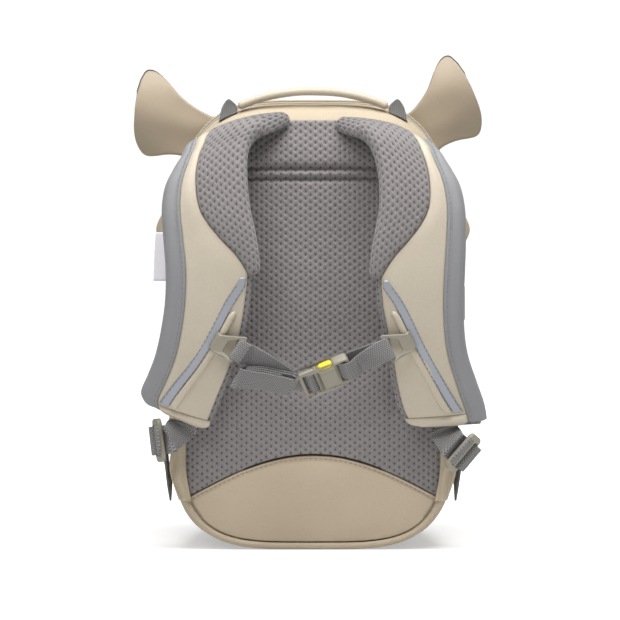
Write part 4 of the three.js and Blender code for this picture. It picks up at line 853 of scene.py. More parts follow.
PANEL_HALF = BODY_SECTIONS["half"][0] * HALF
PANEL_CROWN = BODY_SECTIONS["crown"][0] * (HEIGHT - WIDEST_LEVEL)
PANEL_FOOT = BODY_SECTIONS["foot"][0] * WIDEST_LEVEL


def panel_point(a, b):
    most = np.maximum(np.abs(a), np.abs(b))
    norm = squared_norm(a, b)
    k = np.where(norm > 0, most / np.maximum(norm, 1e-9), 0)
    return PANEL_HALF * a * k, WIDEST_LEVEL + np.where(b > 0, PANEL_CROWN, PANEL_FOOT) * b * k


def arch_level(x):
    return ARCH_END + ARCH_RISE * np.cos(math.pi / 2 * np.minimum(np.abs(x) / PANEL_HALF, 1))


def arch_at(a):
    low, high = -np.ones_like(a), np.ones_like(a)
    for _ in range(40):
        b = (low + high) / 2
        x, z = panel_point(a, b)
        above = z > arch_level(x)
        high = np.where(above, b, high)
        low = np.where(above, low, b)
    return (low + high) / 2


def pad_rise(z, edge):
    pillow = 1 - edge**4
    above = (z - RIB_LEVEL) / (RIB_HEIGHT / 2)
    groove = RIB_GROOVE * np.exp(-(((np.abs(above) - 1) * 2.2) ** 2))
    top = np.where(above > 1, TOP_PAD_BULGE * np.sin(math.pi * np.clip((above - 1) / 9, 0, 1)), 0)
    return PANEL_BULGE * pillow + (top - groove) * (1 - edge**6)


def panel_front(x, z):
    up = z - WIDEST_LEVEL
    edge = squared_norm(x / PANEL_HALF, up / np.where(up > 0, PANEL_CROWN, PANEL_FOOT))
    out = np.where(edge < 1, PANEL_RIM + pad_rise(z, np.minimum(edge, 1)), PANEL_RIM)
    return BACK_PLANE - SEAM_GAP - out


def build_back_panel():
    u, v = grid(250, 170)
    a = 2 * v - 1
    step = 2 * SEAM_GAP / HEIGHT
    arch = arch_at(a[0])[None, :]
    rough_width, rough_height = 180, 150

    def skin(low, high, rise, rim):
        b = low + (high - low) * u
        x, z = panel_point(a, b)
        edge = np.maximum(np.abs(a), np.abs(b))
        height = np.abs(high - low) * rough_height
        near = rim_round(u * height, (1 - np.abs(a)) / 2 * rough_width, height, rough_width, rim)
        out = (PANEL_RIM + rise(x, z, edge)) * near
        front = vector(x, BACK_PLANE - SEAM_GAP - out, z)
        return front, vector(x, 0 * x + BACK_PLANE - SEAM_GAP, z), vector(x, z)

    def padded(x, z, edge):
        # Soft creases run down the pad where it bends over the foam, and the cloth is a little uneven.
        away = 1 - edge**8
        crease_left = 1.0 * bump_at(x, -51 + 3 * np.sin(z / 21), 3.0) * bump_at(z, 78, 26)
        crease_right = 0.9 * bump_at(x, 52 - 2.5 * np.sin(z / 18), 3.0) * bump_at(z, 80, 24)
        soft = 0.45 * ripple(x, z, 60, 11) + 0.12 * ripple(x, z, 22, 12)
        above = (z - RIB_LEVEL) / (RIB_HEIGHT / 2)
        soft = soft + 1.2 * bump_at(above, 0, 0.7) + 1.1 * bump_at(above, 2.4, 1.1)
        soft = soft - 0.8 * bump_at(np.abs(above), 1.1, 0.3)
        return pad_rise(z, edge) + (soft - crease_left - crease_right) * away

    mesh = sheet("back_mesh_pad", *skin(arch + step, 1.0 + 0 * arch, padded, 1.2))
    dress(mesh, air_mesh, "air_mesh", "back_mesh", padded=0.8)

    def smooth(x, z, edge):
        tuck = 0.7 * bump_at(z, arch_level(x) - ARCH_STITCHES, 1.1)
        return PANEL_BULGE * (1 - edge**4) - LUMBAR_DROP + 0.35 * ripple(x, z, 55, 14) - tuck

    u, v = grid(90, 170)
    a = 2 * v - 1
    lumbar = sheet("lumbar_panel_cloth", *skin(-1.0 + 0 * arch, arch - step, smooth, 0.6))
    dress(lumbar, smooth_panel, "smooth_panel", "lumbar_panel", padded=0.6)

    # One row of stitches below the arch, and one along each side of the rib.
    x = np.linspace(-84, 84, 260)
    z = arch_level(x) - ARCH_STITCHES
    out = PANEL_RIM + PANEL_BULGE * (1 - (np.abs(x) / 92) ** 4) - 1.2
    path = vector(x, BACK_PLANE - SEAM_GAP - out, z)
    stitches("lumbar_stitches", path, (0, -1, 0), panel_thread, "smooth_panel", 2.4, 1.0, 0.33)
    for name, sign in (("upper", 1), ("lower", -1)):
        x = np.linspace(-74, 74, 200)
        z = RIB_LEVEL + sign * RIB_HEIGHT / 2 + 0 * x
        path = vector(x, panel_front(x, z) + 0.1, z)
        stitches(f"rib_{name}_stitches", path, (0, -1, 0), grey_thread, "air_mesh", 2.4, 1.1, 0.3)

    # The piping follows the panel's edge down both sides and round the foot.
    grow = PIPING_RADIUS + 1.5 * SEAM_GAP
    turn = PIPING_END_TURN - np.linspace(0, 1, 400) * (0.5 + 2 * PIPING_END_TURN)
    x, z = outline(turn, PANEL_HALF + grow, PANEL_CROWN + grow, PANEL_FOOT + grow)
    path = even(vector(x, BACK_PLANE - PIPING_RADIUS + 0 * x, np.maximum(z, PIPING_RADIUS)), 1.5)
    piping = tube("back_piping_cord", path, PIPING_RADIUS, 18)
    dress(piping, bag_cloth, "bag_cloth", "back_piping")


# Shoulder straps.


class Strap:
    """The surface of one shoulder strap. side is -1 for the left strap and 1 for the right."""

    def __init__(self, side):
        self.side = side
        self.name = "left" if side < 0 else "right"
        self.rows = LEFT_STRAP if side < 0 else RIGHT_STRAP

    def read(self, station, column):
        return read(self.rows, "station", station, column)

    def edge(self, station, name):
        return vector(
            self.side * HALF * self.read(station, name + "X"),
            BACK_PLANE - PANEL_RIM / 2 - STRAP_STANDOFF * self.read(station, "off"),
            HEIGHT * self.read(station, name + "Z"),
        )

    def ruled(self, station, across):
        return mix(self.edge(station, "inner"), self.edge(station, "outer"), np.asarray(across)[..., None])

    def normal(self, station, across):
        low = np.maximum(station - 0.05, 0)
        high = np.minimum(station + 0.05, STRAP_END)
        along = self.ruled(high, across) - self.ruled(low, across)
        over = self.edge(station, "outer") - self.edge(station, "inner")
        return unit(np.cross(over, along) * -self.side)

    def over(self, station):
        return unit(self.edge(station, "outer") - self.edge(station, "inner"))

    def pad(self, station):
        return STRAP_PAD * self.read(station, "pad")

    def camber(self, station, across):
        inside = np.clip(across, 0, 1)
        return STRAP_PAD * self.read(station, "camber") * 4 * inside * (1 - inside)

    def point(self, station, across, lift):
        station, across, lift = np.broadcast_arrays(station, across, lift)
        rise = (self.camber(station, across) + lift)[..., None]
        place = self.ruled(station, across) + self.normal(station, across) * rise
        front = panel_front(place[..., 0], place[..., 2]) - PANEL_CLEARANCE
        place[..., 1] = np.minimum(place[..., 1], front)
        return place

    def top(self, station, across, lift):
        return self.point(station, across, self.pad(station) / 2 + lift)

    def width(self, station):
        return np.linalg.norm(self.edge(station, "outer") - self.edge(station, "inner"), axis=-1)

    def place(self, station, across):
        """The place round the strap, as strap_loop counts it, of a place across the whole strap."""
        inset = self.pad(station) / 2 / self.width(station)
        return (across - inset) / (1 - 2 * inset)

    def run(self, station):
        """The length along the strap's middle in millimetres."""
        fine = np.linspace(0, STRAP_END, 600)
        return np.interp(station, fine, lengths(self.ruled(fine, 0.5 + 0 * fine)))


def on_strap(rows):
    return lambda station: read(rows, "station", station, "across")


neck_edge = on_strap(NECK_EDGE)
binding_edge = on_strap(BINDING_EDGE)
reflector_line = on_strap(REFLECTOR_LINE)


def around_edge(strap, station, outer, angle, lift):
    """A point round the strap's inner or outer side edge. 90 degrees is its top and -90 its underside."""
    half_pad = strap.pad(station) / 2
    inset = half_pad / strap.width(station)
    across = 1 - inset if outer else inset
    centre = strap.point(station, across, 0 * station)
    way = strap.over(station) * (1 if outer else -1)
    normal = strap.normal(station, across)
    reach = (half_pad + lift)[..., None]
    return centre + (way * np.cos(angle)[..., None] + normal * np.sin(angle)[..., None]) * reach


def strap_loop(strap, station, place, lift):
    """A point round the whole strap. place runs from 0 to 1 over the top, from the inner to the outer edge,
    to 1.5 round the outer edge, to 2.5 back underneath, and to 3 round the inner edge, also as -0.5 to 0."""
    station, place, lift = (np.asarray(x, float) for x in np.broadcast_arrays(station, place, lift))
    place = np.where(place < 0, place + 3, place)
    inset = strap.pad(station) / 2 / strap.width(station)
    half_pad = strap.pad(station) / 2
    top_across = inset + (1 - 2 * inset) * np.clip(place, 0, 1)
    under_across = inset + (1 - 2 * inset) * np.clip(2.5 - place, 0, 1)
    top = strap.point(station, top_across, half_pad + lift)
    under = strap.point(station, under_across, -half_pad - lift)
    outer = around_edge(strap, station, True, math.pi / 2 - (place - 1) * 2 * math.pi, lift)
    inner = around_edge(strap, station, False, -math.pi / 2 + (place - 2.5) * 2 * math.pi, lift)
    result = np.where((place <= 1)[..., None], top, outer)
    result = np.where((place > 1.5)[..., None], under, result)
    return np.where((place > 2.5)[..., None], inner, result)


def strap_skin(strap, name, span, low, high, lift, thickness, counts, rim, puff=None):
    """A sewn layer between two stations and two places round the strap."""
    u, v = grid(*counts)
    start, end = span
    station = start + (end - start) * u
    place = low(station) + (high(station) - low(station)) * v
    run = strap.run(station)
    width = strap.width(station)
    wide = np.abs(high(station) - low(station)) * width
    shape = rim_round(run - run[0, 0], wide * v, run[-1, 0] - run[0, 0], wide, rim)
    extra = 0 if puff is None else puff(station, v, place)
    front = strap_loop(strap, station, place, lift + (thickness + extra) * shape)
    back = strap_loop(strap, station, place, lift + 0 * shape)
    return sheet(f"strap_{strap.name}_{name}", front, back, vector(place * width, run))


def build_strap(strap):
    side = strap.name
    seed = 1 if strap.side < 0 else 2
    end = STRAP_END

    # The foam padding, mesh underneath and at its sides.
    stations = np.linspace(0, end, 150)
    corners = ((0, 1, 24), (1, 1.5, 8), (1.5, 2.5, 24), (2.5, 3, 8))
    places = np.concatenate([np.linspace(*corner, endpoint=False) for corner in corners])
    station, place = np.meshgrid(stations, places, indexing="ij")
    rings = strap_loop(strap, station, place, -0.3 - 2.6 * smoothstep(14.6, 15.0, station) ** 2)
    dress(loft(f"strap_{side}_foam", rings), air_mesh, "air_mesh", f"strap_{side}_pad", padded=0.8)

    def soft(s, place, depth, length, seed):
        return depth * ripple(place * 46, strap.run(s), length, seed)

    # The neck mesh wraps the inner edge, puffed between its two seams.
    def neck_low(s):
        return -0.42 + 0 * s

    def neck_high(s):
        return strap.place(s, neck_edge(s))

    def neck_puff(s, v, place):
        rise = 1.8 * np.sin(math.pi * np.clip(v, 0, 1)) ** 0.7
        return rise + soft(s, place, 0.5, 34, 20 + seed) * np.sin(math.pi * v)

    span = (0.35, NECK_END)
    neck = strap_skin(strap, "neck", span, neck_low, neck_high, 0.4, 2.2, (130, 60), 3.2, neck_puff)
    dress(neck, air_mesh, "air_mesh", f"strap_{side}_neck_mesh", padded=0.7)

    # The beige cover.
    def cover_low(s):
        seam = strap.place(s, neck_edge(s) + 0.006)
        return np.where(s < NECK_END, np.maximum(seam, 0.0), 0.0)

    def cover_high(s):
        return strap.place(s, binding_edge(s) + 0.004)

    def cover_puff(s, v, place):
        rise = 0.8 * np.sin(math.pi * v) + soft(s, place, 0.4, 40, 30 + seed)
        return rise * np.sin(math.pi * np.clip(v, 0, 1)) ** 0.5

    span = (COVER_START, HEM_STATION)
    cover = strap_skin(
        strap, "cover_cloth", span, cover_low, cover_high, COVER_LIFT, COVER, (200, 44), 1.2, cover_puff
    )
    dress(cover, strap_cloth, "strap_cloth", f"strap_{side}_cover")

    # The grey binding folds round the outer edge.
    def band_low(s):
        return strap.place(s, binding_edge(s))

    def band_high(s):
        return 1.55 + 0 * s

    def band_puff(s, v, place):
        return 0.35 * np.sin(math.pi * v) - 0.55 * bump_at(v, 0.13, 0.045)

    span = (COVER_START, end - 0.2)
    band = strap_skin(strap, "band", span, band_low, band_high, 0.25, BINDING, (220, 36), 1.2, band_puff)
    dress(band, grey_binding, "grey_binding", f"strap_{side}_binding")

    # The folded hem at the free end.
    def hem_low(s):
        return -0.1 + 0.22 * smoothstep(14.5, end, s) ** 2

    def hem_high(s):
        return cover_high(s) - 0.12 * smoothstep(14.6, end, s) ** 2

    def hem_puff(s, v, place):
        return 1.5 * np.sin(math.pi * np.clip((s - HEM_STATION) / 0.65, 0, 1)) * np.sin(math.pi * v) ** 0.4

    span = (HEM_STATION - 0.02, end - 0.05)
    hem = strap_skin(strap, "hem_cloth", span, hem_low, hem_high, 0.3, COVER + 0.9, (30, 50), 2.6, hem_puff)
    dress(hem, strap_cloth, "strap_cloth", f"strap_{side}_hem")

    # The reflective strip, and the rail in its sewn channel.
    on_cover = COVER_LIFT + COVER + 0.5
    first, last = REFLECTOR_LINE["station"][[0, -1]]

    def strip(sign):
        def edge(s):
            return np.maximum(
                strap.place(s, reflector_line(s) + sign * REFLECTOR_WIDTH / 2 / strap.width(s)), 0.02
            )

        return edge

    strip_obj = strap_skin(
        strap, "strip", (first, last), strip(-1), strip(1), on_cover, REFLECTOR_THICKNESS, (110, 10), 0.5
    )
    dress(strip_obj, reflector, "reflector", f"strap_{side}_reflector")

    def rail_across(s):
        return reflector_line(s) - RAIL_FROM_REFLECTOR / strap.width(s)

    rail_start, rail_end = RAIL_SPAN
    rings = []
    for s in np.linspace(rail_start, rail_end, 110):
        fade = math.sqrt(max(1 - (2 * (s - rail_start) / (rail_end - rail_start) - 1) ** 24, 0.05))
        angle = np.linspace(0, 2 * math.pi, 16, endpoint=False)
        aside = RAIL_RADIUS * 1.35 * np.cos(angle) * fade / strap.width(s)
        lift = on_cover - 0.5 + RAIL_RADIUS * 0.95 * (1 + np.sin(angle)) * fade
        rings.append(strap.top(s + 0 * angle, rail_across(s) + aside, lift))
    dress(loft(f"strap_{side}_rail_cord", rings), strap_cloth, "strap_cloth", f"strap_{side}_rail")

    # Stitches: along the binding, the two edges of the strip and the rail.
    def row(name, start, stop, across, lift, material, slot):
        s = np.linspace(start, stop, 300)
        path = strap.top(s, across(s), lift)
        stitches(f"strap_{side}_{name}_stitches", path, strap.normal(s, across(s)), material, slot)

    def beside(line, away):
        return lambda s: line(s) + away / strap.width(s)

    row("band", 1.6, end - 0.4, beside(binding_edge, 2.4), 1.75, grey_thread, "grey_binding")
    on_strip = on_cover + REFLECTOR_THICKNESS + 0.05
    for name, sign in (("strip_inner", -1), ("strip_outer", 1)):
        line = beside(reflector_line, sign * (REFLECTOR_WIDTH / 2 - 0.7))
        row(name, first + 0.2, last - 0.1, line, on_strip, grey_thread, "reflector")
    line = beside(rail_across, -3.4)
    row("rail", rail_start + 0.1, rail_end - 0.1, line, 1.75, beige_thread, "strap_cloth")
    return rail_across


# The handle and its tabs.

HANDLE = {"radius": 2.9, "half_span": 52, "rise": 10, "from_back": 11, "end_lift": 0.4}
HANDLE_TAB = {"width": 13, "thickness": 2.8, "peak": 2.5}
TAB = table("up near far", (0, 0, 1), (0.55, 0.05, 0.85), (1, 0.3, 0.62))


def build_handle():
    y = BACK_PLANE + HANDLE["from_back"]
    share = share_at(y)
    radius, half_span = HANDLE["radius"], HANDLE["half_span"]
    end_level = crown_at(share, half_span) + radius + HANDLE["end_lift"]
    top_level = crown_at(share, 0) + HANDLE["rise"]
    t = np.linspace(-1, 1, 160)
    path = vector(half_span * t, y + 0 * t, end_level + (top_level - end_level) * (1 - np.abs(t) ** 2.2))
    path = even(path, 1.0)
    uneven = 1 + 0.035 * ripple(path[:, 0], 0 * path[:, 0], 22, 41)
    grip = tube("handle_grip_roll", path, radius * uneven, 24)
    dress(grip, strap_cloth, "bag_cloth", "handle_grip", padded=1.0)
    seam = path + np.array([0, -radius * 0.62, -radius * 0.82])
    stitches("handle_stitches", seam[5:-5], (0, -0.6, -0.8), beige_thread, "bag_cloth", 2.4, 1.0, 0.25)
    for side, name in ((-1, "left"), (1, "right")):
        peak = end_level + radius + HANDLE_TAB["peak"]
        inner = half_span + SEAM_GAP
        wide = HANDLE_TAB["width"]
        u, v = grid(40, 34)
        near, far = read(TAB, "up", u, "near"), read(TAB, "up", u, "far")
        x = inner + wide * mix(near, far, v)
        foot = crown_at(share, x) - 0.6
        z = foot + (peak - foot) * u * (1 - 0.12 * u**3 * (2 * v - 1) ** 2)
        # The tab cups the handle's end, and its edges are round.
        cup = 0.9 * (2 * v - 1) ** 2 * (1 - u) + 0.5 * np.sin(math.pi * u)
        shape = rim_round(4 + u * 15, v * wide * (far - near), 19, wide * (far - near), 0.8)
        thick = HANDLE_TAB["thickness"] / 2 * shape
        front = vector(side * x, y - thick + cup, z)
        back = vector(side * x, y + thick + cup, z)
        tab = sheet(f"handle_tab_{name}_web", front, back, vector(x, z))
        dress(tab, webbing, "webbing", f"handle_tab_{name}")


# Ears.

EAR = {"size": 49, "root_half": 13, "sink": 0.2, "behind_zip": 9, "midway": 0.09, "cup": 12, "sweep": 2}
EAR_LAYERS = {"shell": 2.4, "lining": 1, "gap": 0.35}
EARS = table("side turn reach rise", (-1, 0.366, 49, 16), (1, 0.138, 45, 34))

# The outline of an ear. along is a share of its reach, and up and down are the distances of its two edges
# from the axis, as shares of its size.
EAR_SHAPE = table(
    "along up down",
    (0, 0.19, 0.175),
    (0.3, 0.38, 0.365),
    (0.49, 0.51, 0.465),
    (0.66, 0.617, 0.5),
    (0.8, 0.673, 0.393),
    (0.9, 0.68, 0.2),
    (0.97, 0.63, -0.1),
    (1, 0.5, -0.3),
)


def build_ear(k):
    side, turn, reach, rise = (EARS[name][k] for name in EARS)
    name = "left" if side < 0 else "right"
    share = share_at(ZIP_PLANE + EAR["behind_zip"])
    rise = math.radians(rise)
    axis = np.array([side * math.cos(rise), 0, math.sin(rise)])
    chord = np.array([-side * math.sin(rise), 0, math.cos(rise)])
    size = EAR["size"]

    def root_at(v):
        step = EAR["root_half"] / HEIGHT * (2 * v - 1) * 0.42
        return body_point(turn - side * step, share, EAR["sink"] - SEAM_GAP)

    middle = root_at(np.array(0.5))

    def skin(u, v, lift, peek=0.0):
        along = 1 - (1 - u) ** 1.6
        grow = peek * (2 * smoothstep(0.5, 0.85, along) * smoothstep(0.95, 0.7, v) - 1)
        up = read(EAR_SHAPE, "along", along, "up") + grow / size
        down = read(EAR_SHAPE, "along", along, "down") + grow / size
        place = (
            middle
            + axis * ((reach + grow) * along)[..., None]
            + chord * (size * (up - (up + down) * v))[..., None]
        )
        place = mix(root_at(v), place, smoothstep(0, 0.3, u)[..., None])
        w = (up - (up + down) * v - EAR["midway"]) / (EAR_SHAPE["up"].max() - EAR["midway"])
        cup = EAR["cup"] * along * (w * w - 0.35) + EAR["sweep"] * along
        # Folds fan out from the root, and the cloth is a little uneven.
        folds = 0.7 * np.sin(w * 8 + 1.3 * side) * np.exp(-u * 3.5) + 0.3 * ripple(u * 50, v * 60, 34, 51 + k)
        place[..., 1] += cup + folds * np.sin(math.pi * np.clip(u, 0, 1)) ** 0.5 + lift
        return place

    u, v = grid(90, 90)
    along = 1 - (1 - u) ** 1.6
    wide = size * (read(EAR_SHAPE, "along", along, "up") + read(EAR_SHAPE, "along", along, "down"))
    shape = rim_round(20 + along * reach, v * wide, 20 + reach, wide, 1.7)
    puff = 0.8 * np.sin(math.pi * v) * np.sin(math.pi * np.clip(along, 0, 1)) ** 0.5
    uv = vector(v * 60, along * reach)
    half_shell = EAR_LAYERS["shell"] / 2
    outer = sheet(
        f"ear_{name}_cloth",
        skin(u, v, -half_shell - half_shell * shape - puff),
        skin(u, v, -half_shell + half_shell * shape),
        uv,
    )
    # The ears' shade is painted into their darker copy of the bag's cloth.
    dress(outer, shaded_ear_cloth, "bag_cloth", f"ear_{name}", padded=0.5)
    half_lining = EAR_LAYERS["lining"] / 2
    mid = EAR_LAYERS["gap"] + half_lining
    u = 0.03 + 0.97 * u
    lining = sheet(
        f"ear_{name}_lining_cloth",
        skin(u, v, mid - half_lining * shape, 0.8),
        skin(u, v, mid + half_lining * shape, 0.8),
        uv,
    )
    dress(lining, ear_lining, "ear_lining", f"ear_{name}_lining")


# Side flaps and label.

FLAP = {"height": 34, "reach": 12.5, "thickness": 4, "swing": 10, "droop": 4, "root_y": -4, "level": 0.725}
LABEL = {"width": 11, "height": 34, "thickness": 0.8, "behind_zip": 6.5, "swing": 3, "level": 0.648}


def build_flap(side, name):
    u, v = grid(40, 50)
    rim = 2 * v - 1
    root_y, height, level = FLAP["root_y"], FLAP["height"], HEIGHT * FLAP["level"]
    z = level + rim / 2 * height * (1 - 0.45 * u * u) - FLAP["droop"] * u
    wall = half_width_at(share_at(root_y), level + rim / 2 * height) - 0.5
    out = (FLAP["reach"] + 0.5) * np.sin(math.pi / 2 * u) * (1 - 0.35 * rim * rim)
    shape = rim_round(10 + u * 13, v * height, 46, height, 2.2)
    shape = np.minimum(shape, np.sqrt(np.clip(1 - np.clip((u - 0.85) / 0.15, 0, 1) ** 2, 0.03, 1)))
    thick = FLAP["thickness"] * (1 - 0.4 * u) * shape / 2
    y = root_y + FLAP["swing"] * u + 0.4 * ripple(u * 14, v * height, 18, 61)
    front = vector(side * (wall + out), y - thick, z)
    back = vector(side * (wall + out), y + thick, z)
    flap = sheet(f"side_flap_{name}_cloth", front, back, vector(v * height, u * 14))
    dress(flap, bag_cloth, "bag_cloth", f"side_flap_{name}", padded=0.4)


def build_label():
    u, v = grid(24, 40)
    y = ZIP_PLANE + LABEL["behind_zip"]
    width, height = LABEL["width"], LABEL["height"]
    z = HEIGHT * LABEL["level"] + (v - 0.5) * height
    x = half_width_at(share_at(y), z) - 0.3 + (width + 0.3) * u
    bend = LABEL["swing"] * u * u + 0.3 * np.sin(v * 5) * u
    thick = LABEL["thickness"] / 2 * rim_round(5 + u * width, v * height, 21, height, 0.4)
    front = vector(-x, y + bend - thick, z)
    back = vector(-x, y + bend + thick, z)
    label = sheet("side_label_cloth", front, back, vector(v * height, u * width))
    dress(label, label_cloth, "label", "side_label")


# Mouldings and webbing.

CHEST_WEB = {"width": 15, "thickness": 1.3, "lean": 36}
ROLL = {"pitch": 2.35, "left": 12, "near": 22, "far": 34, "clearance": 5.5, "tuck": 6, "hang": 15}
BAR_RADIUS = 1.3
BAR_CLEARANCE = 0.35
CLIP = {"reach": 14, "drop": 5, "forward": 5, "rim": 2.2, "thickness": 2.4, "grip": 13}
BUCKLE = {"height": 19.5, "thickness": 8, "rim": 2.6, "bar_to_rim": 6.4, "male_part": 6, "seat": 1.2}
BUTTON = {"length": 10, "width": 5, "proud": 1.2}
BUCKLE_START = {"along": 0.494, "drop": 0.215}
BUCKLE_END = {"along": 0.7, "drop": 0.13}
CHEST_STRAIGHT = 5
CHEST_SEWN = 6
CHEST_SEAM = 5
CHEST_LAP = 0.5
CHEST_MEET = 0.2
LOWER_WEB = {"width": 20, "thickness": 1.5, "rooted": 0.41, "stub": 4.6, "tail": 4}
WING_THICKNESS = 2.4
LADDER_LOCK = {"height": 30, "length": 17, "thickness": 3.6, "rim": 3.2}
ZIP_SLIDER = {"length": 11, "width": 8, "thickness": 2.4, "pull_length": 20, "pull_width": 6}


def rounded_loop(x0, y0, x1, y1, radius, steps=6):
    """A rectangle with round corners, anticlockwise."""
    corners = ((x1, y1, -1, -1, 0), (x0, y1, 1, -1, 90), (x0, y0, 1, 1, 180), (x1, y0, -1, 1, 270))
    parts = []
    for x, y, across, up, start in corners:
        angle = np.radians(start + np.linspace(0, 90, steps))
        parts.append(vector(x + radius * (across + np.cos(angle)), y + radius * (up + np.sin(angle))))
    return np.concatenate(parts)


def rounded_polygon(corners, radius, steps=5):
    """A polygon whose corners are cut by soft arcs."""
    corners = np.asarray(corners, float)
    parts = []
    for k, corner in enumerate(corners):
        before, after = corners[k - 1], corners[(k + 1) % len(corners)]
        a = corner + unit(before - corner) * min(radius, 0.45 * np.linalg.norm(before - corner))
        b = corner + unit(after - corner) * min(radius, 0.45 * np.linalg.norm(after - corner))
        t = np.linspace(0, 1, steps)[:, None]
        parts.append((1 - t) ** 2 * a + 2 * t * (1 - t) * corner + t**2 * b)
    return np.concatenate(parts)


def plate(name, loops, thickness, bevel, place):
    """A flat moulding with round edges. The first loop is its outline, the others are holes, and place puts
    points of the plate's own x, y and height in the bag's frame."""
    curve = bpy.data.curves.new(name, "CURVE")
    curve.dimensions = "2D"
    curve.fill_mode = "BOTH"
    curve.extrude = thickness / 2 - bevel
    curve.bevel_depth = bevel
    curve.bevel_resolution = 2
    curve.offset = -bevel
    for loop in loops:
        spline = curve.splines.new("POLY")
        spline.points.add(len(loop) - 1)
        flat = np.hstack([loop, np.zeros((len(loop), 1)), np.ones((len(loop), 1))])
        spline.points.foreach_set("co", flat.astype(np.float32).ravel())
        spline.use_cyclic_u = True
    holder = bpy.data.objects.new(name, curve)
    mesh = bpy.data.meshes.new_from_object(holder)
    bpy.data.objects.remove(holder)
    bpy.data.curves.remove(curve)
    work = bmesh.new()
    work.from_mesh(mesh)
    bmesh.ops.remove_doubles(work, verts=work.verts, dist=1e-3)
    bmesh.ops.triangulate(work, faces=[face for face in work.faces if len(face.verts) > 4])
    bmesh.ops.recalc_face_normals(work, faces=work.faces)
    points = np.array([vert.co for vert in work.verts], float)
    flat_faces = [abs(face.normal.z) > 0.99 for face in work.faces]
    faces = [[vert.index for vert in face.verts] for face in work.faces]
    work.free()
    bpy.data.meshes.remove(mesh)
    obj = make(name, place(points[:, 0], points[:, 1], points[:, 2]), faces)
    obj.data.polygons.foreach_set("use_smooth", [not flat for flat in flat_faces])
    return obj


def flat_place(origin, x_way, y_way, z_way):
    def place(x, y, z):
        return origin + x_way * x[:, None] + y_way * y[:, None] + z_way * z[:, None]

    return place


def bar(name, start, end, radius, material, slot):
    path = even(np.array([start, end]), 1.0)
    return dress(tube(name, path, radius, 12), material, slot)


def web(name, middle, across, width, thickness, step=0.7):
    """Webbing through rows of middles and width directions, bent smoothly between the rows."""
    both = curve_through(np.hstack([middle, unit(np.asarray(across, float)) * 6]), step)
    return ribbon(name, both[:, :3], unit(both[:, 3:]), width, thickness)


def leaned_frame(along, lean):
    to_viewer = np.array([0.0, -1.0, 0.0])
    across = unit(np.cross(along, to_viewer))
    across = across if across[2] > 0 else -across
    face = unit(to_viewer - along * (to_viewer @ along))
    hinge = Vector(along * np.sign(along[0]))
    tilt = Quaternion(hinge, lean)
    return np.array(tilt @ Vector(across)), np.array(tilt @ Vector(face))


class WebLine:
    """The middle line of a web, with its directions at a length along it."""

    def __init__(self, points, lean_at):
        self.path = curve_through(points, 0.25)
        self.run = lengths(self.path)
        self.length = self.run[-1]
        self.tangent = unit(np.gradient(self.path, axis=0))
        self.lean_at = lean_at

    def at(self, l):
        held = min(max(l, 0), self.length)
        along = unit(np.array([np.interp(held, self.run, self.tangent[:, k]) for k in range(3)]))
        middle = np.array([np.interp(held, self.run, self.path[:, k]) for k in range(3)])
        across, face = leaned_frame(along, self.lean_at(held / self.length))
        return middle + along * (l - held), along, across, face


def chest_web(name, line, legs, hang, nodes):
    """A leg is a length, a distance in front of the line and whether it hangs. A turn also has a radius, a
    start and a sweep in half turns."""
    middles, acrosses = [], []
    for leg in legs:
        length, away, hung, *turn = leg
        steps = [(length, away)]
        if turn:
            radius, start, sweep = turn
            angles = (start + sweep * np.linspace(0, 1, 9)) * math.pi
            steps = [(length + radius * math.cos(a), away + radius * math.sin(a)) for a in angles]
        for l, d in steps:
            middle, _, across, face = line.at(l)
            middles.append(middle + face * d - across * (hang(l) if hung else 0))
            acrosses.append(across)
    obj = web(name, middles, acrosses, CHEST_WEB["width"], CHEST_WEB["thickness"])
    return dress(obj, webbing, "webbing", *nodes)


def web_stitches(name, line, l, distance, count):
    """Bar tacks: short rows of stitches across a web."""
    for k in range(count):
        middle, _, across, face = line.at(l + 1.5 * k)
        t = np.linspace(-0.42, 0.42, 30)[:, None]
        path = middle + face * distance + across * CHEST_WEB["width"] * t
        stitches(f"{name}_{k}", path, face, grey_thread, "webbing", 1.3, 0.5, 0.22)


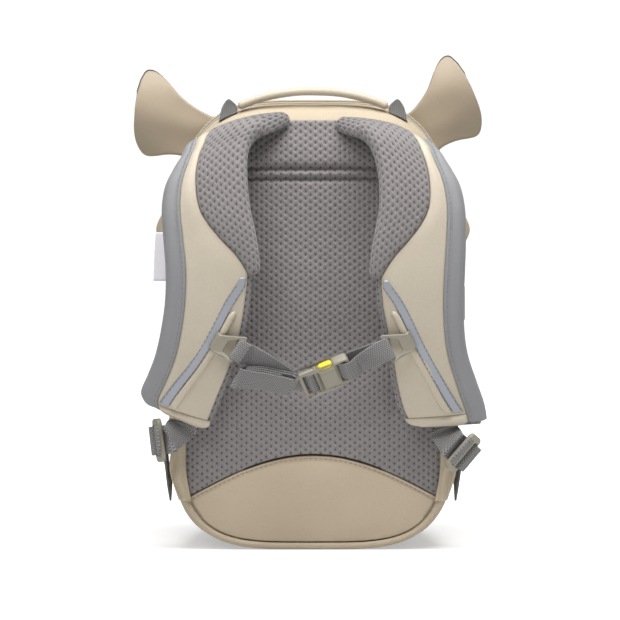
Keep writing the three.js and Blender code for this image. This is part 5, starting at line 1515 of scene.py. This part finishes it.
def build_chest_strap(left, right, rails):
    def clip_bar(strap, across):
        place = strap.top(SLIDER_STATION, across, 2 * SEAM_GAP + COVER + RAIL_RADIUS)
        return place + np.array([-strap.side * CLIP["reach"], -CLIP["forward"], -CLIP["drop"]])

    a = clip_bar(left, rails[0](SLIDER_STATION))
    b = clip_bar(right, rails[1](SLIDER_STATION))
    span = np.linalg.norm(b - a)

    def between(row):
        return mix(a, b, row["along"]) - np.array([0, 0, row["drop"] * span])

    start, end = between(BUCKLE_START), between(BUCKLE_END)
    way = unit(end - start)
    lean = math.radians(CHEST_WEB["lean"])
    thickness = CHEST_WEB["thickness"]
    loop = BAR_RADIUS + BAR_CLEARANCE + thickness / 2
    bend = start - way * 2 * CHEST_STRAIGHT
    line = WebLine(
        [a, mix(a, bend, 0.5), bend, start - way * CHEST_STRAIGHT, start],
        lambda t: lean * float(smoothstep(0, 0.4, t)),
    )
    inner = -(BUCKLE["rim"] / 2 + 2 * BAR_CLEARANCE + thickness / 2)
    outer = inner - thickness - BAR_CLEARANCE
    left_end = line.length
    rim_at = left_end - BUCKLE["bar_to_rim"]
    pitch = ROLL["pitch"]
    roll_end = rim_at - BUCKLE["rim"] / 2 - ROLL["clearance"] - pitch
    near, far, roll_left = ROLL["near"], ROLL["far"], ROLL["left"]

    def layer(n):
        return inner + n * pitch

    def hang(l):
        return ROLL["hang"] * max(roll_end - l, 0) / (roll_end - roll_left)

    legs = [
        (CHEST_SEWN - CHEST_LAP, loop, False),
        (0, 0, False, loop, 0.5, 1),
        (CHEST_SEWN - 1, -loop, False),
        (CHEST_SEWN + 4, outer, False),
        (near, outer, False),
        (far, outer, False),
        (rim_at, outer, False),
        (left_end - 1.2, outer, False),
        (left_end, 0, False, loop, -0.5, 0.85),
        (left_end - 1, loop + 0.05, False),
        (rim_at + BUCKLE["rim"] / 2 + 1.1, inner + 0.5, False),
        (rim_at, inner - 0.2, False),
        (roll_end + 1.5, inner - 0.1, False),
        (roll_end, inner, True),
        (far, inner, True),
        (near, inner, True),
        (roll_left, layer(1.5), True, 1.5 * pitch, 1.5, -1),
        (near, layer(3), True),
        (far, layer(3), True),
        (roll_end, layer(2), True, pitch, 0.5, -1),
        (far, layer(1), True),
        (near, layer(1), True),
        (roll_left + 2, layer(1.5), True, 0.5 * pitch, 1.5, -1),
        (near, layer(2), True),
        (roll_end - ROLL["tuck"], layer(2), True),
    ]
    chest_web("chest_web_left_band", line, legs, hang, ["chest_web_left"])
    web_stitches("clip_left_tack", line, CHEST_SEWN - 2.4, loop + thickness / 2 + 0.05, 2)

    back = WebLine(
        [end, end + way * CHEST_STRAIGHT, end + way * 2 * CHEST_STRAIGHT, b],
        lambda t: lean * (1 - float(smoothstep(0.35, 1, t))),
    )
    right_end = back.length
    room = BAR_RADIUS + thickness + 2 * BAR_CLEARANCE
    clear = BUCKLE["thickness"] / 2 + BAR_CLEARANCE + thickness / 2
    past = room + BUCKLE["rim"]
    legs = [
        (past + CHEST_SEAM, loop + CHEST_MEET, False),
        (past + 1, clear, False),
        (room - 1, clear, False),
        (0, 0, False, loop, 0.5, 1),
        (room - 1, -clear, False),
        (past + 1, -clear, False),
        (right_end - CHEST_SEWN, -loop, False),
        (right_end, 0, False, loop, -0.5, 1),
        (right_end - CHEST_SEWN, loop, False),
        (past + CHEST_SEAM + CHEST_LAP, loop + CHEST_MEET, False),
    ]
    chest_web("chest_web_right_band", back, legs, hang, ["chest_web_right"])
    web_stitches("web_right_tack", back, past + 7.5, loop + thickness / 2 + 0.2, 3)

    build_clip("clip_left", left, rails[0], line.at(0))
    build_clip("clip_right", right, rails[1], back.at(right_end))
    build_buckle(start, end, lean)


def build_clip(name, strap, rail_across, bar_place):
    """A ladder plate from the rail to the web's bar, with a cradle round the rail."""

    def rail(station):
        return strap.top(station, rail_across(station), 2 * SEAM_GAP + COVER + RAIL_RADIUS)

    on = rail(SLIDER_STATION)
    rail_way = unit(rail(SLIDER_STATION - 0.4) - rail(SLIDER_STATION + 0.4))
    normal = strap.normal(np.array(SLIDER_STATION), np.array(rail_across(SLIDER_STATION)))
    tip, _, across, _ = bar_place
    across = across if across @ rail_way > 0 else -across
    root = on + normal * (RAIL_RADIUS + 1.2)
    length = np.linalg.norm(tip - root)
    reach = unit(tip - root)
    half_bar = CHEST_WEB["width"] / 2 + BAR_CLEARANCE
    half_grip = CLIP["grip"] / 2
    rim = CLIP["rim"]

    def place(x, y, z):
        over = unit(mix(rail_way, across, np.clip(x / length, 0, 1)[:, None]))
        up = unit(np.cross(reach, over))
        up = up * np.sign(up @ normal)[:, None]
        sag = -0.8 * np.sin(math.pi * np.clip(x / length, 0, 1))
        return root + reach * x[:, None] + over * y[:, None] + up * (z + sag)[:, None]

    end = length + BAR_RADIUS
    wide = half_bar + rim + 0.5
    lower = [(-2.6, -half_grip), (1.5, -half_grip - 0.4), (end, -wide)]
    upper = [(x, -y) for x, y in lower[::-1]]
    rim_loop = rounded_polygon(lower + upper, 2.4)
    gap, inner = length - BAR_RADIUS, half_grip - 2.4
    hole = rounded_polygon([(5.4, -inner), (gap, -half_bar), (gap, half_bar), (5.4, inner)], 1.2)
    body = plate(f"{name}_plate", [rim_loop, hole], CLIP["thickness"], 0.5, place)
    dress(body, clip_plastic, "clip_plastic", name)
    u, v = grid(26, 22)
    angle = math.radians(-38) + math.radians(256) * v
    beside = unit(np.cross(rail_way, normal))
    along = (u - 0.5) * CLIP["grip"]
    ring = beside * np.cos(angle)[..., None] + normal * np.sin(angle)[..., None]
    thick = 1.5 * rim_round(u * CLIP["grip"], v * 12, CLIP["grip"], 12, 0.6)
    base = on + rail_way * along[..., None]
    inside = base + ring * (RAIL_RADIUS + 0.3)
    outside = base + ring * (RAIL_RADIUS + 0.3 + thick)[..., None]
    cradle = sheet(f"{name}_cradle", outside, inside, vector(v * 12, u * 13))
    dress(cradle, clip_plastic, "clip_plastic")


def build_buckle(start, end, lean):
    along = unit(end - start)
    across, face = leaned_frame(along, lean)
    height, thickness, rim = BUCKLE["height"], BUCKLE["thickness"], BUCKLE["rim"]
    middle = mix(start, end, 0.5)
    bar_at = np.linalg.norm(end - start) / 2
    slot_half = CHEST_WEB["width"] / 2 + BAR_CLEARANCE
    room = BAR_RADIUS + CHEST_WEB["thickness"] + 2 * BAR_CLEARANCE
    split = -bar_at + BUCKLE["male_part"]
    male_end = -bar_at - BUCKLE["bar_to_rim"] - rim / 2
    place = flat_place(middle, along, across, face)
    h = height / 2

    ladder = rounded_loop(male_end, -h, -bar_at + room + 1.2, h, 2.2)
    window = rounded_loop(male_end + rim, -slot_half, -bar_at + room - 0.1, slot_half, 0.9)
    male = plate("buckle_male_ladder", [ladder, window], rim + 0.6, 0.9, place)
    dress(male, clip_plastic, "clip_plastic", "buckle_male")
    plug = rounded_loop(-bar_at + room, -h + 0.15, split - SEAM_GAP / 2, h - 0.15, 1.4)
    dress(plate("buckle_male_body", [plug], thickness, 1.3, place), clip_plastic, "clip_plastic")
    for name, at in (("male", -bar_at), ("female", bar_at)):
        rod = middle + along * at
        reach = across * (slot_half + 0.6)
        bar(f"buckle_{name}_bar", rod - reach, rod + reach, BAR_RADIUS, clip_plastic, "clip_plastic")

    seat = split + BUCKLE["seat"] + BUTTON["length"] / 2
    low, high = split + SEAM_GAP / 2, bar_at + room + rim
    notch = BUTTON["length"] / 2 + SEAM_GAP
    body = [
        (low, -h), (high - 1, -h), (high, -h + 3), (high, h - 3), (high - 1, h), (seat + notch, h),
        (seat + notch - 0.6, h - 2.6), (seat - notch + 0.6, h - 2.6), (seat - notch, h), (low, h),
    ]  # fmt: skip
    window = rounded_loop(bar_at - room + 0.1, -slot_half, bar_at + room, slot_half, 0.9)
    female = plate("buckle_female_body", [rounded_polygon(body, 1.3, 4), window], thickness, 1.4, place)
    dress(female, clip_plastic, "clip_plastic", "buckle_female")
    # A shallow panel on each face keeps the button's seat.
    inset = rounded_loop(low + 1.6, -h + 2.2, bar_at - room - 1.4, h - 4.6, 1.8)
    for side in (-1, 1):
        raised = flat_place(middle + face * side * (thickness / 2 - 0.25), along, across, face)
        dress(plate(f"buckle_panel_{side + 1}", [inset], 1.1, 0.5, raised), clip_plastic, "clip_plastic")

    half_length, half_width = BUTTON["length"] / 2, BUTTON["width"] / 2
    cap = rounded_loop(-half_length, -half_width, half_length, half_width, 2.4)
    top = flat_place(middle + along * seat + across * (h - 1.3), along, face, across)
    button = plate("buckle_button_cap", [cap], 2.6 + BUTTON["proud"], 1.2, top)
    dress(button, button_plastic, "button_plastic", "buckle_button")


# Lower strap ends.

LOCKS = {
    -1: {"x": 1.04, "level": 0.248, "forward": 21, "along": (-0.25, 0.95, -0.1), "across": (-0.1, 0, 1)},
    1: {"x": 1.01, "level": 0.221, "forward": 24, "along": (0.35, 0.85, -0.35), "across": (0.6, 0, 0.75)},
}
WING = table(
    "v seamX seamLevel edgeX edgeLevel forward",
    (0, 0.83, 0.108, 0.91, 0.112, 3),
    (0.5, 0.865, 0.175, 0.955, 0.18, 4),
    (1, 0.87, 0.245, 0.95, 0.235, 5),
)
SIDE_WEB = table("back level off", (2, 0.205, 2.2), (12, 0.16, 0.3), (20, 0.122, 0))


def build_lower(strap):
    side, name = strap.side, strap.name
    width, thickness = LOWER_WEB["width"], LOWER_WEB["thickness"]
    lock = LOCKS[side]
    middle = np.array([side * HALF * lock["x"], BACK_PLANE - lock["forward"], HEIGHT * lock["level"]])
    along = unit(np.array(lock["along"], float))
    across = np.array(lock["across"], float)
    across = unit(across - along * (across @ along))
    out = np.cross(along, across)
    out = out if out[0] * side > 0 else -out

    height, length, rim = LADDER_LOCK["height"], LADDER_LOCK["length"], LADDER_LOCK["rim"]
    half_thick = LADDER_LOCK["thickness"] / 2
    slot_length = (length - 3 * rim) / 2
    slot_half = width / 2 + BAR_CLEARANCE
    loops = [rounded_loop(-length / 2, -height / 2, length / 2, height / 2, 4)]
    for low in (-length / 2 + rim, length / 2 - rim - slot_length):
        loops.append(rounded_loop(low, -slot_half, low + slot_length, slot_half, 0.8))
    place = flat_place(middle, along, across, out)
    lock_plate = plate(f"ladder_lock_{name}_frame", loops, LADDER_LOCK["thickness"], 1.1, place)
    dress(lock_plate, clip_plastic, "clip_plastic", f"ladder_lock_{name}")

    lift = half_thick + BAR_CLEARANCE + thickness / 2
    inside = rim / 2 + BAR_CLEARANCE + thickness / 2

    def hook(way, target):
        facing = -1 if (target - middle) @ out < 0 else 1
        steps = (
            (rim / 2 + 2.5, lift + 1.75),
            (-rim / 2, lift + 0.9),
            (-inside, lift - 1.2),
            (-inside, -lift + 1.2),
            (-rim / 2, -lift),
            (rim / 2 + LOWER_WEB["tail"], -lift),
        )
        return [
            middle + along * way * (length / 2 - rim / 2 + a) + out * facing * d
            for a, d in steps
        ]

    end = np.array(float(STRAP_END))
    rooted = strap.point(end, np.array(LOWER_WEB["rooted"]), np.array(0.0))
    before = strap.point(end - 0.4, np.array(LOWER_WEB["rooted"]), np.array(0.0))
    strap_way = unit(rooted - before)
    strap_over = unit(strap.edge(end, "outer") - strap.edge(end, "inner"))
    strap_over = strap_over if strap_over @ across > 0 else -strap_over
    stub = rooted + strap_way * LOWER_WEB["stub"]
    near = hook(-1, rooted)
    middles = [rooted + strap_way * 0.7, stub, mix(stub, near[0], 0.35), mix(stub, near[0], 0.7), *near]
    turning = [unit(mix(strap_over, across, k)) for k in (0.15, 0.5, 0.9)]
    acrosses = [strap_over, *turning, *[across] * len(near)]
    upper = web(f"adjuster_web_{name}_band", middles, acrosses, width, thickness)
    dress(upper, webbing, "webbing", f"adjuster_web_{name}")

    # The wing is a soft double fold of the bag's cloth.
    u, v = grid(36, 60)

    def wing_read(column):
        return read(WING, "v", v, column)

    seam_x, seam_z = HALF * wing_read("seamX"), HEIGHT * wing_read("seamLevel")
    seam_y = panel_front(seam_x, seam_z) - 2 * SEAM_GAP - WING_THICKNESS / 2
    seam = vector(side * seam_x, seam_y, seam_z)
    edge_x, edge_z = HALF * wing_read("edgeX"), HEIGHT * wing_read("edgeLevel")
    edge = vector(side * edge_x, seam_y - wing_read("forward"), edge_z)
    # A light ridge stands up beside the panel, with a dark fold outside it.
    sway = 0.09 * np.sin(v * 9 + side)
    fold = 1.6 * bump_at(u, 0.8 + sway, 0.13) - 2.4 * bump_at(u, 0.36 + sway, 0.2)
    fold = fold * np.sin(math.pi * v) ** 0.3
    bow = 1.6 * np.sin(math.pi * v) * u
    base = mix(seam, edge, u[..., None]) + np.array([side, 0, 0]) * bow[..., None]
    base[..., 1] += fold
    shape = rim_round(3 + u * 12, v * 44, 15.5, 44, 1.2)
    face_way = unit(np.array([side * 0.3, 0.95, 0]))
    thick = WING_THICKNESS / 2 * shape * (1 + 0.25 * np.sin(math.pi * u))
    wing = sheet(
        f"wing_{name}_cloth",
        base - face_way * thick[..., None],
        base + face_way * thick[..., None],
        vector(u * 12, v * 44),
    )
    dress(wing, bag_cloth, "bag_cloth", f"wing_{name}", padded=0.3)

    sewn, sewn_across = [], []
    for back, level, off in zip(*SIDE_WEB.values()):
        y, z = BACK_PLANE + back, HEIGHT * level
        reaches = [
            half_width_at(max(share_at(y + k * 0.4 * width), 0), z + k * 0.3 * width) for k in (-1, 0, 1)
        ]
        sewn.append(np.array([side * (max(reaches) + 2 * SEAM_GAP + thickness / 2 + off), y, z]))
        sewn_across.append(np.array([0, 0.8, 0.6]))
    far = hook(1, sewn[0])[::-1]
    flip = -1 if across @ sewn_across[0] < 0 else 1
    acrosses = [*[across * flip] * len(far), *sewn_across]
    lower = web(f"side_web_{name}_band", [*far, *sewn], acrosses, width, thickness)
    dress(lower, webbing, "webbing", f"side_web_{name}")


def build_slider():
    """The zip's slider and its pull."""
    turn = ZIP_TURNS[0]
    foot = body_point(np.array(turn), np.array(share_at(ZIP_PLANE)), -1.0 - 2 * SEAM_GAP)
    length, width = ZIP_SLIDER["length"], ZIP_SLIDER["width"]
    origin = foot - np.array([0, 0, length / 2])
    x_way, y_way, z_way = np.array([0.0, 1, 0]), np.array([0.0, 0, 1]), np.array([1.0, 0, 0])
    thick = ZIP_SLIDER["thickness"]
    body = rounded_polygon([(-width / 2, length), (-2.4, 0), (2.4, 0), (width / 2, length)], 2.2)
    lid = flat_place(origin + z_way * thick / 2, x_way, y_way, z_way)
    dress(plate("zip_slider_body", [body], thick, 0.7, lid), clip_plastic, "clip_plastic", "zip_slider")
    wide, low = ZIP_SLIDER["pull_width"] / 2, -ZIP_SLIDER["pull_length"]
    tag = rounded_polygon([(-wide, low), (wide, low), (2, 4), (-2, 4)], 2.2)
    hole = rounded_loop(-1.2, -0.5, 1.2, 2.2, 1.1)
    over = flat_place(origin + z_way * (thick + 0.7), x_way, y_way, z_way)
    dress(plate("zip_slider_pull", [tag, hole], 1.5, 0.5, over), clip_plastic, "clip_plastic")


build_shell()
build_zip()
build_slider()
build_back_panel()
left_strap, right_strap = Strap(-1), Strap(1)
left_rail = build_strap(left_strap)
right_rail = build_strap(right_strap)
build_handle()
build_ear(0)
build_ear(1)
build_flap(-1, "left")
build_flap(1, "right")
build_label()
build_chest_strap(left_strap, right_strap, (left_rail, right_rail))
build_lower(left_strap)
build_lower(right_strap)

# Stage.


def area_light(name, place, aim, size, energy):
    data = bpy.data.lights.new(name, "AREA")
    data.shape = "RECTANGLE"
    data.size, data.size_y = size
    data.energy = energy
    lamp = bpy.data.objects.new(name, data)
    lamp.location = place
    lamp.rotation_mode = "QUATERNION"
    lamp.rotation_quaternion = (Vector(aim) - Vector(place)).to_track_quat("-Z", "Y")
    bpy.context.scene.collection.objects.link(lamp)


# Metres, and the floor's own light near the bag and away from it.
FLOOR = {"half_width": 6, "near": -4, "far": 12, "shine_from_to": (0.1, 0.5), "shine": (0.42, 1.0)}
ROOM_LIGHT = 0.19
WHITE = 1.05


def build_stage():
    half, near, far = FLOOR["half_width"], FLOOR["near"], FLOOR["far"]
    corners = [(-half, near, 0), (half, near, 0), (half, far, 0), (-half, far, 0)]
    mesh = bpy.data.meshes.new("floor")
    mesh.from_pydata(corners, [], [(0, 1, 2, 3)])
    floor = bpy.data.objects.new("floor", mesh)
    bpy.context.scene.collection.objects.link(floor)
    # White paper that shines by itself away from the bag, so that no edge of the floor is seen.
    n = Nodes("floor", 0.9, (0.8, 0.8, 0.8), Specular_IOR_Level=0.05)
    n.shader.inputs["Emission Color"].default_value = (1, 1, 1, 1)
    away = n.add("ShaderNodeVectorMath", operation="LENGTH")
    n.link(n.object_place(), away.inputs[0])
    seen = n.add("ShaderNodeLightPath").outputs["Is Camera Ray"]
    shine = n.smooth(away.outputs["Value"], *FLOOR["shine_from_to"], *FLOOR["shine"])
    n.link(n.math("MULTIPLY", shine, seen), n.shader.inputs["Emission Strength"])
    mesh.materials.append(n.material)

    world = bpy.data.worlds.new("studio")
    bpy.context.scene.world = world
    world.use_nodes = True
    tree = world.node_tree
    background = tree.nodes["Background"]
    background.inputs["Strength"].default_value = ROOM_LIGHT
    white = tree.nodes.new("ShaderNodeBackground")
    white.inputs["Color"].default_value = (1, 1, 1, 1)
    white.inputs["Strength"].default_value = WHITE
    background.inputs["Color"].default_value = (1, 1, 1, 1)
    path = tree.nodes.new("ShaderNodeLightPath")
    chooser = tree.nodes.new("ShaderNodeMixShader")
    tree.links.new(path.outputs["Is Camera Ray"], chooser.inputs[0])
    tree.links.new(background.outputs[0], chooser.inputs[1])
    tree.links.new(white.outputs[0], chooser.inputs[2])
    tree.links.new(chooser.outputs[0], tree.nodes["World Output"].inputs[0])

    area_light("top", (0.05, -0.4, 1.25), (0, 0, 0.1), (1.1, 0.7), 22)
    area_light("key", (-0.7, -1.9, 1.5), (0, 0, 0.15), (0.9, 0.7), 9)


# The camera's distance is in metres, its centre is on the plane of the back panel, and scale is millimetres
# per pixel there.
CAMERA = {"distance": 2.4, "elevation": 2.5, "centre_x": -2.1, "centre_z": 165.6, "plane_y": -60}
PICTURE = {"sensor": 36, "pixels": 620, "scale": 0.69}


def build_camera():
    data = bpy.data.cameras.new("camera")
    data.sensor_width = PICTURE["sensor"]
    data.lens = PICTURE["sensor"] * CAMERA["distance"] / (PICTURE["pixels"] * PICTURE["scale"] * MM)
    camera = bpy.data.objects.new("camera", data)
    elevation = math.radians(CAMERA["elevation"])
    target = Vector((CAMERA["centre_x"], CAMERA["plane_y"], CAMERA["centre_z"])) * MM
    back = Vector((0, -math.cos(elevation), math.sin(elevation)))
    camera.location = target + back * CAMERA["distance"]
    camera.rotation_mode = "QUATERNION"
    camera.rotation_quaternion = (-back).to_track_quat("-Z", "Y")
    bpy.context.scene.collection.objects.link(camera)
    bpy.context.scene.camera = camera


build_stage()
build_camera()
bpy.context.scene.view_settings.view_transform = "Standard"
